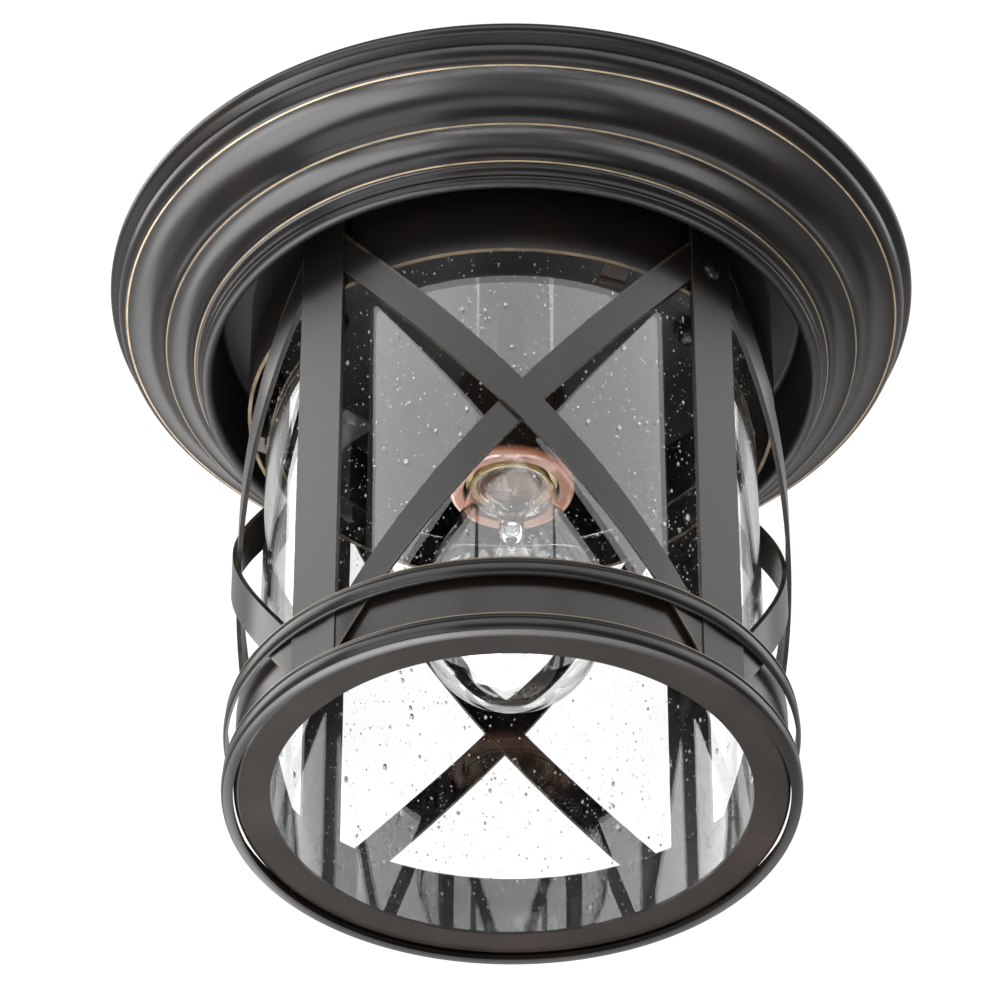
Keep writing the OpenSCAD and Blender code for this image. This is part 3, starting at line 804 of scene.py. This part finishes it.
@dataclass
class CeilingPan:
    """The spun pan: a rolled rim, a roll, two coves, a bead round the mouth and a recess."""

    outer: float = 140.0
    wall: float = 1.2
    bead: float = 3.1
    bead_turn: Pair = (90, -60)
    roll: Pair = (4.774, 5.676)
    roll_turn: Pair = (22, -70)
    step1: Pair = (133.8, -14.8)
    step2: Pair = (119.9, -28.1)
    step3: Pair = (109.8, -35.5)
    mouth: Pair = (102.9, -42.6)
    mouth_bead: float = 2.3
    mouth_turn: Pair = (30, -170)
    notch: float = 0.2
    arris: float = 0.8
    plate: float = -11.8
    plate_row: float = 60.0
    taper: float = 1.5
    bend: float = 2.5

    def face(self, arris: float) -> np.ndarray:
        """The visible profile, from the ceiling over the rim and the steps to the middle.

        It is arcs and quarter ellipses end to end, as in the CAD, with more points.

        Args:
            arris: the radius of each step's edge, or 0 for a sharp one.

        Returns:
            (n, 2) radii and heights.
        """
        foot = math.radians(self.roll_turn[1])
        roll_c = (
            self.step1[0] - self.roll[0] * math.cos(foot),
            self.step1[1] - self.roll[1] * math.sin(foot),
        )
        parts = [
            oval(self.outer - self.bead, -self.bead, self.bead, self.bead, *self.bead_turn, 26),
            oval(*roll_c, *self.roll, *self.roll_turn, 24),
        ]
        start = self.step1
        for step in (self.step2, self.step3):
            parts.append(cove(start, (step[0], step[1] + arris), 30))
            if arris:
                parts.append(oval(step[0] - arris, step[1] + arris, arris, arris, 0, -90, 7)[1:])
            start = (step[0] - arris, step[1])
        b = self.mouth_bead
        bead = oval(self.mouth[0] + b, self.mouth[1] + b, b, b, *self.mouth_turn, 26)
        parts.append(cove(start, (bead[0][0], bead[0][1] + self.notch), 12))
        parts.append(bead)
        low = (self.mouth[0] - self.taper, self.plate - self.bend)
        parts.append(np.array([low]))
        parts.append(blend(low, (low[0], self.plate), (low[0] - self.bend, self.plate), 10))
        parts.append(np.array([[self.plate_row, self.plate], [0.0, self.plate]]))
        return np.vstack(parts)

    def build(self) -> None:
        """Makes the pan and dresses its tabs and rivets."""
        outline = np.vstack([self.face(self.arris), beside(self.face(0.0), self.wall)[::-1]])
        outline[:, 0] = np.maximum(outline[:, 0], 0.0)
        finish = Bronze(Wear.STEPS).material("pan_bronze")
        pan = [revolve(outline, 256)]
        make_piece("spun_pan", pan, finish, "lantern", ["ceiling_pan"], 30.0)
        zinc = Plated((0.52, 0.53, 0.53), (0.40, 0.41, 0.42), 0.32).material("tab_zinc")
        dress(zinc, "pan_tabs", "tab_rivets")


@dataclass
class Hanger:
    """What hangs the lantern: crossbar, studs, nuts, and the socket's tube and bracket."""

    stud_pitch: float = 0.79
    tube_pitch: float = 0.94
    zinc: tuple[Colour, Colour] = ((0.56, 0.57, 0.58), (0.44, 0.46, 0.48))
    brown: tuple[Colour, Colour] = ((0.030, 0.021, 0.014), (0.016, 0.012, 0.009))
    green: tuple[Colour, Colour] = ((0.03, 0.24, 0.07), (0.02, 0.16, 0.05))

    def build(self) -> None:
        """Dresses the CAD pieces."""
        stud = Plated(*self.zinc, 0.26, thread=self.stud_pitch)
        tube = Plated(*self.brown, 0.35, 0.3, thread=self.tube_pitch)
        screw = Plated(*self.green, 0.3, 0.6, coat=0.4)
        bar = Plated(*self.zinc, 0.30).material("bar_zinc")
        dress(bar, "mounting_crossbar", "socket_bracket")
        dress(Plated(*self.zinc, 0.26).material("nut_zinc"), "stud_locknuts", "bracket_screws")
        dress(stud.material("stud_zinc"), "hanging_studs")
        dress(screw.material("ground_green"), "ground_screw")
        dress(Plated(*self.brown, 0.35, 0.3).material("nut_brown"), "nipple_locknuts")
        dress(tube.material("tube_brown"), "socket_nipple")
        dress(Bronze().material("cap_nut_bronze"), "cap_nuts")


@dataclass
class Socket:
    """The porcelain socket with its brass screw shell and contact."""

    mouth: float = -88.6
    height: float = 46.0
    outer: float = 21.5
    bore: float = 14.55
    mouth_bore: float = 16.4
    mouth_depth: float = 4.6
    lip_round: float = 0.8
    rim_height: float = 13.0
    rim_round: float = 2.0
    waist: float = 2.6
    waist_rise: Pair = (1.0, 5.0)
    top_round: float = 1.5
    floor: float = -58.8

    def outline(self) -> np.ndarray:
        """The porcelain's profile: its bore's step, a rounded lip and rim, and a waist.

        Returns:
            (n, 2) radii and heights.
        """
        m, r, w = self.mouth, self.outer, self.outer - self.waist
        q, lip, t = self.rim_round, self.lip_round, self.top_round
        top, step, brow = m + self.height, m + self.mouth_depth, m + self.rim_height
        corner, end = self.waist_rise
        return np.vstack(
            [
                [[self.bore, step], [self.mouth_bore, step]],
                oval(self.mouth_bore + lip, m + lip, lip, lip, 180, 270, 8),
                oval(r - q, m + q, q, q, -90, 0, 12),
                [[r, brow]],
                blend((r, brow), (w, brow + corner), (w, brow + end), 12),
                oval(w - t, top - t, t, t, 0, 90, 8),
                [[0, top], [0, self.floor], [self.bore, self.floor]],
            ]
        )

    def build(self) -> None:
        """Makes the porcelain and dresses the brass."""
        glaze = Porcelain(rim=self.mouth).material("pink_porcelain")
        body = [revolve(self.outline(), 128)]
        make_piece("porcelain_socket", body, glaze, "lantern", ["lamp_socket"])
        dress(Plated(*BRASS, 0.4).material("shell_brass"), "socket_shell", "socket_contact")


@dataclass
class Cage:
    """Collar, uprights, crossed straps, base ring and hoops."""

    hoop_in: float = 93.04
    hoop_t: float = 1.5
    hoop_h: float = 6.6
    upper_top: float = -189.0
    lower_top: float = -210.8
    ring_top: float = -186.0
    collar_bottom: float = -57.0
    lip_in: float = 90.6
    lip_rise: float = 1.8
    no_lip: float = 0.01
    edge_h: float = 0.8
    edge_share: float = 0.8
    edge_round: float = 0.25
    quirk_share: float = 0.45
    quirk_low: float = 0.25
    quirk_out: float = 0.15
    quirk_rise: float = 0.1
    bead_sunk: float = 0.2
    bead_middle: float = 0.52
    bead_half: float = 0.46
    bead_turn: Pair = (70, -80)
    upright_roughness: float = 0.31
    ring_tones: tuple[Colour, Colour] = ((0.0075, 0.0055, 0.0044), (0.016, 0.010, 0.0068))
    clip_tones: tuple[Colour, Colour] = ((0.012, 0.007, 0.005), (0.03, 0.016, 0.009))
    clip_roughness: float = 0.4
    sides: tuple[str, ...] = ("front", "right", "rear", "left")

    def hoop(self, top: float, lip: float) -> Patch:
        """A rolled hoop: a thin edge, a quirk, a round bead that is half an ellipse, a lip.

        Args:
            top: the height of its top edge.
            lip: the inner radius of the lip that turns in at its foot.

        Returns:
            The surface.
        """
        edge_r = self.hoop_in + self.hoop_t * self.edge_share
        quirk_r = self.hoop_in + self.hoop_t * self.quirk_share
        bulge = self.hoop_in + self.hoop_t - quirk_r + self.bead_sunk
        low, foot, span = top - self.edge_h, top - self.hoop_h, self.hoop_h - self.edge_h
        middle, half, e = low - span * self.bead_middle, span * self.bead_half, self.edge_round
        outline = np.vstack(
            [
                [[self.hoop_in, top]],
                oval(edge_r - e, top - e, e, e, 90, 0, 5),
                [[edge_r, low + self.quirk_rise]],
                [[quirk_r + self.quirk_out, low - self.quirk_low]],
                oval(quirk_r - self.bead_sunk, middle, bulge, half, *self.bead_turn, 26),
                [[lip, foot], [lip, foot + self.lip_rise]],
                [[self.hoop_in, foot + self.lip_rise]],
            ]
        )
        return revolve(outline, 256)

    def build(self) -> None:
        """Makes the hoops and dresses the rest."""
        hoops = (
            ("upper_hoop", self.upper_top, self.hoop_in - self.no_lip),
            ("lower_hoop", self.lower_top, self.lip_in),
        )
        for name, top, lip in hoops:
            finish = Bronze(Wear.HOOP, top).material(name + "_bronze")
            band = [self.hoop(top, lip)]
            make_piece("rolled_" + name, band, finish, "lantern", [name], 32.0)
        uprights = [f"upright_{a}_{b}" for a in ("front", "rear") for b in ("left", "right")]
        upright = Bronze(Wear.UPRIGHT, roughness=self.upright_roughness)
        dress(upright.material("upright_bronze"), *uprights)
        for wear, way in ((Wear.OVER, "over"), (Wear.UNDER, "under")):
            straps = [f"strap_{side}_{way}" for side in self.sides]
            dress(Bronze(wear).material(way + "_bronze"), *straps)
        dark, warm = self.ring_tones
        ring = Bronze(Wear.RING, self.ring_top, dark, warm)
        dress(ring.material("ring_bronze"), "base_ring")
        collar = Bronze(Wear.COLLAR, self.collar_bottom)
        dress(collar.material("collar_bronze"), "cage_collar")
        dress(Bronze().material("screw_bronze"), "cage_screws")
        dark, warm = self.clip_tones
        clip = Bronze(dark=dark, warm=warm, roughness=self.clip_roughness)
        dress(clip.material("clip_bronze"), "glass_clips")


@dataclass
class SeededGlass:
    """The glass cylinder with its air bubbles."""

    outer: float = 83.75
    wall: float = 3.0
    bottom: float = -214.0
    top: float = -46.6
    rim_round: float = 0.7
    hold: float = 1.2
    seeds: int = 3400
    batches: int = 2
    log_size: Pair = (-1.75, 0.55)
    sizes: Pair = (0.09, 0.9)
    longer: Pair = (1.0, 1.7)
    skin: float = 0.12
    rim_gap: float = 2.5
    sectors: int = 6
    belts: tuple[float, ...] = (-90, -48, 0, 48, 90)

    def bubbles(self, batch: int) -> Patch:
        """Ellipsoids in the wall: centre + (size cos p cos t, size cos p sin t, long sin p).

        Their places are even over the wall's area, and their sizes follow a log-normal law.
        Each is thin enough across the wall to stay inside it.

        Args:
            batch: which batch of seeds; each has its own places.

        Returns:
            The surfaces of all its seeds.
        """
        pick, n, half = np.random.default_rng(batch), self.seeds, self.wall / 2
        size = np.clip(np.exp(pick.normal(*self.log_size, n)), *self.sizes)
        long = size * pick.uniform(*self.longer, n)
        deep = self.outer - half + pick.uniform(-1, 1, n) * (half - self.skin - size)
        turn = pick.uniform(0, 2 * np.pi, n)
        high = pick.uniform(self.bottom + self.rim_gap, self.top - self.rim_gap, n)
        t = np.linspace(0, 2 * np.pi, self.sectors, endpoint=False)
        p = np.radians(self.belts)
        x, y = np.outer(np.cos(p), np.cos(t)), np.outer(np.cos(p), np.sin(t))
        ball = np.stack([x, y, np.outer(np.sin(p), np.ones(len(t)))], -1).reshape(-1, 3)
        scale = np.stack([size, size, long], -1)
        centre = np.stack([deep * np.cos(turn), deep * np.sin(turn), high], -1)
        points = (centre[:, None, :] + ball[None] * scale[:, None, :]).reshape(-1, 3)
        cells = quad_grid(len(p), len(t), False, True)
        quads = (cells[None] + (np.arange(n) * len(ball))[:, None, None]).reshape(-1, 4)
        return Patch(points, quads)

    def cylinder(self) -> Patch:
        """The open cylinder: two straight walls that quarter circles join at each rim.

        A row of points at the distance hold from each rim keeps the walls' shading straight,
        so that they don't act as lenses.

        Returns:
            The surface.
        """
        inner, e = self.outer - self.wall, self.rim_round
        high, low = self.top - self.hold, self.bottom + self.hold
        outline = np.vstack(
            [
                oval(self.outer - e, self.top - e, e, e, 0, 90, 6),
                oval(inner + e, self.top - e, e, e, 90, 180, 6),
                [[inner, high], [inner, low]],
                oval(inner + e, self.bottom + e, e, e, 180, 270, 6),
                oval(self.outer - e, self.bottom + e, e, e, -90, 0, 6),
                [[self.outer, low], [self.outer, high]],
            ]
        )
        return revolve(outline, 256)

    def build(self) -> None:
        """Makes the cylinder and its bubbles."""
        glass = ClearGlass(ripple=0.04, ripple_size=26.0).material("drawn_glass")
        wall = [self.cylinder()]
        make_piece("seeded_cylinder", wall, glass, "lantern", ["glass_cylinder"])
        # The seeds are part matt white: a painted glint for the light that air bubbles reflect.
        air = ClearGlass(tint=(1.0, 1.0, 1.0), ior=0.667, clear=0.55).material("seed_air_painted_glint")
        for batch in range(1, self.batches + 1):
            seeds = [self.bubbles(batch)]
            make_piece(f"glass_seeds_{batch}", seeds, air, "lantern", [], 180.0)


@dataclass
class Lamp:
    """The clear lamp: envelope, threaded cap, stem, leads and filament."""

    radius: float = 30.5
    tip: float = -173.6
    shoulder: float = 47.5
    turn: float = 39.0
    neck: float = 15.2
    wall: float = 0.8
    neck_low: float = 2.5
    seal_low: float = 0.7
    seal_gap: float = 0.3
    seal_rise: float = 5.0
    cap_rim: float = -86.6
    cap_r: float = 13.15
    cap_h: float = 23.0
    cap_wall: float = 0.9
    cap_plain: float = 3.0
    cap_fold: Pair = (2.2, 2.0)
    cement_gap: float = 0.05
    cap_turned: float = 0.5
    pitch: float = 3.63
    depth: float = 0.45
    fade: float = 1.5
    thread_rows: int = 90
    thread_start: float = 0.2
    sectors: int = 96
    lead_r: float = 0.35
    hook_r: float = 0.13
    coil_half: float = 11.9
    coil_drop: float = 44.3
    coil_rise: float = 1.9
    coil_turns: int = 75
    coil_r: float = 0.32
    wire_r: float = 0.09

    @property
    def cap_inner(self) -> float:
        """The cap's inner radius."""
        return self.cap_r - self.depth - self.cap_wall

    def envelope(self) -> Patch:
        """Half a sphere, a taller shoulder, a neck that narrows to the cap and an edge in it.

        The shoulder is an ellipse, and the neck leaves it along its tangent.

        Returns:
            The surface, with its outside and its inside.
        """
        centre, rad = self.tip + self.radius, math.radians(self.turn)
        a = (self.radius * math.cos(rad), centre + self.shoulder * math.sin(rad))
        rise = self.shoulder / self.radius / math.tan(rad)
        k = (self.neck, a[1] + (a[0] - self.neck) * rise)
        low, top = self.cap_rim - self.neck_low, self.cap_rim - self.seal_low
        seal = self.cap_inner - self.seal_gap
        face = np.vstack(
            [
                oval(0, centre, self.radius, self.radius, -90, 0, 48),
                oval(0, centre, self.radius, self.shoulder, 0, self.turn, 20)[1:],
                blend(a, k, (self.neck, low), 30),
                blend((self.neck, low), (self.neck, top), (seal, top), 12),
                [[seal, self.cap_rim + self.seal_rise]],
            ]
        )
        inside = beside(face[::-1], self.wall)
        inside[:, 0] = np.maximum(inside[:, 0], 0.0)
        inside[-1, 0] = 0.0
        return revolve(np.vstack([face, inside]), 160)

    def cap(self) -> Patch:
        """The cap's wall, with a helical thread on its outside.

        The radius is the root's plus a wave of height over pitch less turn: cap_r - depth / 2
        + depth / 2 cos(2 pi (z / pitch - turn)), faded out at both ends.

        Returns:
            The surface.
        """
        low, high = self.cap_rim + self.cap_plain, self.cap_rim + self.cap_h - self.fade
        rows = np.linspace(low + self.thread_start, high, self.thread_rows)
        top = high + self.fade
        inner, (fold_out, fold_in) = self.cap_inner, self.cap_fold
        z = np.concatenate(
            [[self.cap_rim, low], rows, [top, top, high - self.cap_turned, self.cap_rim]]
        )
        flat_r = np.full(len(z), self.cap_r)
        flat_r[-4:] = [self.cap_r - fold_out, inner - fold_in, inner, inner]
        wave = np.zeros(len(z))
        wave[2 : 2 + len(rows)] = np.clip(np.minimum(rows - low, high - rows) / self.fade, 0, 1)
        turn = np.linspace(0, 1, self.sectors, endpoint=False)
        ripple = np.cos(2 * np.pi * (z[:, None] / self.pitch - turn[None])) - 1
        r = flat_r[:, None] + wave[:, None] * (self.depth / 2 * ripple)
        a = 2 * np.pi * turn[None]
        points = np.stack([r * np.cos(a), r * np.sin(a), z[:, None] + 0 * a], -1).reshape(-1, 3)
        return Patch(points, quad_grid(len(z), self.sectors, True, True))

    def stem(self) -> Patch:
        """A thin flared tube that ends in a pressed seal, with a rod and a button below it.

        Its profile is blends from the flare's rim to its hip, the tube and the seal, a
        straight rod, and part of an ellipse for the button.

        Returns:
            The surface.
        """
        c = self.cap_rim
        rim, hip, tube, seal = (10.5, c + 3.0), (6.0, c - 9), (4.2, c - 18), (1.4, c - 23.5)
        rod, button, crown = (1.3, c - 31), (0, c - 32.6, 2.3, 1.4), (0.0, c - 18.5)
        flare = np.vstack(
            [
                [rim],
                blend(rim, (10.2, c - 1), hip, 14),
                blend(hip, (tube[0], c - 13), tube, 8),
            ]
        )
        press = blend(tube, (tube[0], c - 22), seal, 8)
        outer = np.vstack([flare, press, [rod], oval(*button, 55, -90, 14)])
        inside = beside(flare, self.wall)[::-1]
        arch = blend(crown, (2.6, crown[1]), inside[0], 6)
        return revolve(np.vstack([[crown], arch, inside[1:], outer]), 48)

    def wires(self) -> list[Patch]:
        """Two bent leads and two hooks from the button to the filament's middle.

        A lead is a cubic curve of four points, and a hook is a blend from the button.

        Returns:
            The surfaces.
        """
        c = self.cap_rim
        t = np.linspace(0, 1, 24)[:, None]
        made = []
        for s in (-1.0, 1.0):
            seal, bend = np.array([s * 2.6, 0, c - 18]), np.array([s * 3.4, 0, c - 30])
            knee, end = np.array([s * 11.0, 0, c - 36]), np.array([s * 12.2, 0, c - 44.5])
            lead = seal * (1 - t) ** 3 + 3 * bend * t * (1 - t) ** 2 + 3 * knee * t**2 * (1 - t)
            made.append(tube_along(lead + end * t**3, self.lead_r))
            button, low = np.array([0, 0, c - 33.8]), np.array([s * 2.2, 0.2, c - 38])
            eye = np.array([s * 3.4, 0.2, c - 42.4])
            hook = button * (1 - t) ** 2 + 2 * low * t * (1 - t) + eye * t**2
            made.append(tube_along(hook, self.hook_r, 6))
        return made

    def coil(self) -> Patch:
        """The filament: a fine helix round a shallow arch between the leads.

        Its middle line runs straight across and is raised by coil_rise times the square of
        sin pi t, and the helix turns round it at the radius coil_r.

        Returns:
            The surface.
        """
        t = np.linspace(0, 1, 1500)
        x = -self.coil_half + 2 * self.coil_half * t
        z = self.cap_rim - self.coil_drop + self.coil_rise * np.sin(np.pi * t) ** 2
        a = 2 * np.pi * self.coil_turns * t
        path = np.stack([x, self.coil_r * np.cos(a), z + self.coil_r * np.sin(a)], -1)
        return tube_along(path, self.wire_r, 5)

    def build(self) -> None:
        """Makes the lamp's pieces and dresses its insulator and contact."""
        glass = ClearGlass(tint=(0.995, 0.998, 0.995), ripple=0.015, ripple_size=14.0)
        clear, bulb = glass.material("lamp_glass"), [self.envelope()]
        make_piece("lamp_envelope", bulb, clear, "lamp", ["bulb_envelope"])
        glass = ClearGlass(tint=(0.96, 0.98, 0.97), ripple=0.06, ripple_size=4.0)
        clear, stem = glass.material("stem_glass"), [self.stem()]
        make_piece("lamp_stem", stem, clear, "lamp", ["bulb_stem"], 60.0)
        brass = Plated(*BRASS, 0.36, cement_r=self.cap_inner + self.cement_gap)
        metal, cap = brass.material("cap_brass"), [self.cap()]
        make_piece("lamp_cap", cap, metal, "lamp", ["bulb_cap"], 50.0)
        nickel = Plated((0.50, 0.49, 0.47), (0.40, 0.39, 0.37), 0.28).material("lead_nickel")
        make_piece("lamp_leads", self.wires(), nickel, "lamp", ["bulb_leads"], 60.0)
        metal, coil = Filament().material("tungsten"), [self.coil()]
        make_piece("lamp_coil", coil, metal, "lamp", ["bulb_filament"])
        black = Plated((0.012, 0.012, 0.016), (0.02, 0.018, 0.02), 0.1, 0.0, coat=1.0)
        dress(black.material("black_glass"), "bulb_insulator")
        solder = Plated((0.55, 0.54, 0.52), (0.42, 0.41, 0.40), 0.4)
        dress(solder.material("solder_grey"), "bulb_contact")


@dataclass(frozen=True)
class SoftBox:
    """A rectangular area light that faces the lantern's middle.

    Its direction is given in degrees from the front towards the right, and in degrees
    above the horizon. Its width and height are given by half the angles that they fill.
    """

    name: str
    azimuth: float
    elevation: float
    distance: float
    half_wide: float
    half_tall: float
    radiance: float
    middle_z: float = -127.0

    def hang(self) -> None:
        """Makes the light; its power is 4 times its radiance times its area."""
        light = bpy.data.lights.new(self.name, "AREA")
        light.shape = "RECTANGLE"
        light.size = 2 * self.distance * math.tan(math.radians(self.half_wide)) * MM
        light.size_y = 2 * self.distance * math.tan(math.radians(self.half_tall)) * MM
        light.energy = 4 * self.radiance * light.size * light.size_y
        made = bpy.data.objects.new(self.name, light)
        middle = Matrix.Translation((0, 0, self.middle_z * MM))
        round_z = Matrix.Rotation(math.radians(self.azimuth), 4, "Z")
        tilt = Matrix.Rotation(math.radians(90 - self.elevation), 4, "X")
        out = Matrix.Translation((0, 0, self.distance * MM))
        made.matrix_world = middle @ (round_z @ tilt) @ out
        made.visible_camera = False
        bpy.context.scene.collection.objects.link(made)


@dataclass
class Studio:
    """A pale floor, a pale sky, soft boxes and the camera at the photograph's angle."""

    focal_px: float = 5200.0
    frame_px: float = 1001.0
    sensor: float = 36.0
    sight: Pair = (0.05, 50.0)
    camera: tuple[float, float, float] = (-44.2, -1377.5, -1195.3)
    pitch: float = 38.703
    yaw: float = -1.675
    roll: float = -0.017
    floor_z: float = -3200.0
    floor_half: float = 9000.0
    floor_rows: int = 7
    floor_tones: tuple[Colour, Colour] = ((0.58, 0.58, 0.57), (0.62, 0.62, 0.61))
    floor_blotch: float = 900.0
    backdrop: Colour = (1.1, 1.1, 1.1)
    room: tuple[tuple[float, Colour], ...] = ((0.0, (0.18, 0.18, 0.18)), (1.0, (0.28, 0.28, 0.28)))
    behind: Colour = (0.6, 0.6, 0.6)
    behind_from: Pair = (0.0, 0.3)
    behind_above: Pair = (-0.35, -0.1)
    boxes: tuple[SoftBox, ...] = (
        SoftBox("key_below_left", -108, -60, 1500, 30, 20, 6.9),
        SoftBox("wall_left_near", -42, -6, 2000, 19, 24, 2.1),
        SoftBox("wall_left_far", -78, -6, 2000, 15, 24, 0.3),
        SoftBox("front_low", 0, -25, 1700, 24, 13, 1.6),
        SoftBox("under_front", -45, -72, 1500, 35, 13, 0.7),
        SoftBox("under_rear", 135, -72, 1500, 35, 13, 4.2),
        SoftBox("side_left", -118, -22, 1700, 14, 14, 0.8),
        SoftBox("rear_left", -150, -22, 1700, 17, 14, 3.2),
        SoftBox("rear", 180, -15, 1700, 16, 16, 0.4),
        SoftBox("rear_right", 148, -20, 1700, 18, 13, 0.9),
        SoftBox("high_left", -100, 38.7, 2400, 21, 16, 2.6),
        SoftBox("high_front_left", -42.5, 38.7, 2400, 19.4, 16, 2.2),
        SoftBox("high_front", 0, 38.7, 2400, 13.3, 16, 1.95),
        SoftBox("high_front_right", 48, 38.7, 2400, 24, 16, 1.9),
        SoftBox("high_right", 101, 38.7, 2400, 21, 16, 1.3),
    )

    def floor(self) -> None:
        """A pale matt floor far below the ceiling, faintly uneven in tone."""
        s, n = Shader("pale_floor"), self.floor_rows
        colour = s.mix(s.noise(self.floor_blotch, 2.0), *self.floor_tones)
        matt = s.surface(Base_Color=colour, Roughness=0.9)
        row = np.linspace(-self.floor_half, self.floor_half, n)
        x, y = np.meshgrid(row, row)
        mesh = bpy.data.meshes.new("floor")
        points = np.stack([x, y, 0 * x + self.floor_z], -1).reshape(-1, 3) * MM
        mesh.from_pydata(points.tolist(), [], quad_grid(n, n, False, False).tolist())
        mesh.materials.append(matt)
        made = bpy.data.objects.new("floor", mesh)
        bpy.context.scene.collection.objects.link(made)

    def sky(self) -> None:
        """A white backdrop, also through glass, and a dim room for the lantern to reflect.

        The room has a paler part behind the lantern, for rays that have bounced once or more.
        """
        world = bpy.data.worlds.new("studio")
        bpy.context.scene.world = world
        world.use_nodes = True
        net = Net(world.node_tree)
        place = net.node("ShaderNodeTexCoord")
        split = net.node("ShaderNodeSeparateXYZ", sockets={"Vector": place.outputs["Generated"]})
        ramp = net.node("ShaderNodeValToRGB", {"stops": self.room}, {0: split.outputs["Z"]})
        ray = net.node("ShaderNodeLightPath")
        glossy, diffuse = (Wire(net, ray.outputs[f"{way} Depth"]) for way in ("Glossy", "Diffuse"))
        bounced = (glossy + diffuse).least(1.0)
        level, back = Wire(net, split.outputs["Z"]), Wire(net, split.outputs["Y"])
        rear = back.step(*self.behind_from) * level.step(*self.behind_above)
        seen = net.mix(rear, ramp.outputs[0], self.behind)
        colour = net.mix(bounced, self.backdrop, seen)
        light = net.node("ShaderNodeBackground", sockets={"Color": colour})
        net.node("ShaderNodeOutputWorld", sockets={"Surface": light.outputs[0]})

    def shoot(self) -> None:
        """The camera, solved from the photograph."""
        lens = bpy.data.cameras.new("camera")
        lens.sensor_width = self.sensor
        lens.lens = self.focal_px * self.sensor / self.frame_px
        lens.clip_start, lens.clip_end = self.sight
        made = bpy.data.objects.new("camera", lens)
        where = Matrix.Translation([c * MM for c in self.camera])
        aside = Matrix.Rotation(math.radians(self.yaw), 4, "Z")
        up = Matrix.Rotation(math.radians(90 + self.pitch), 4, "X")
        made.matrix_world = where @ (aside @ up) @ Matrix.Rotation(math.radians(self.roll), 4, "Z")
        bpy.context.scene.collection.objects.link(made)
        bpy.context.scene.camera = made

    def build(self) -> None:
        """Sets the stage."""
        self.shoot()
        self.floor()
        self.sky()
        for box in self.boxes:
            box.hang()
        bpy.context.scene.view_settings.view_transform = "Standard"


def main() -> None:
    """Builds the stage and every sub-assembly in order."""
    logging.basicConfig(level=logging.INFO, format="%(name)s: %(message)s")
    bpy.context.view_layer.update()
    for part in (Studio(), CeilingPan(), Hanger(), Socket(), Cage(), SeededGlass(), Lamp()):
        log.info("building %s", type(part).__name__)
        part.build()


if __name__ == "__main__":
    main()
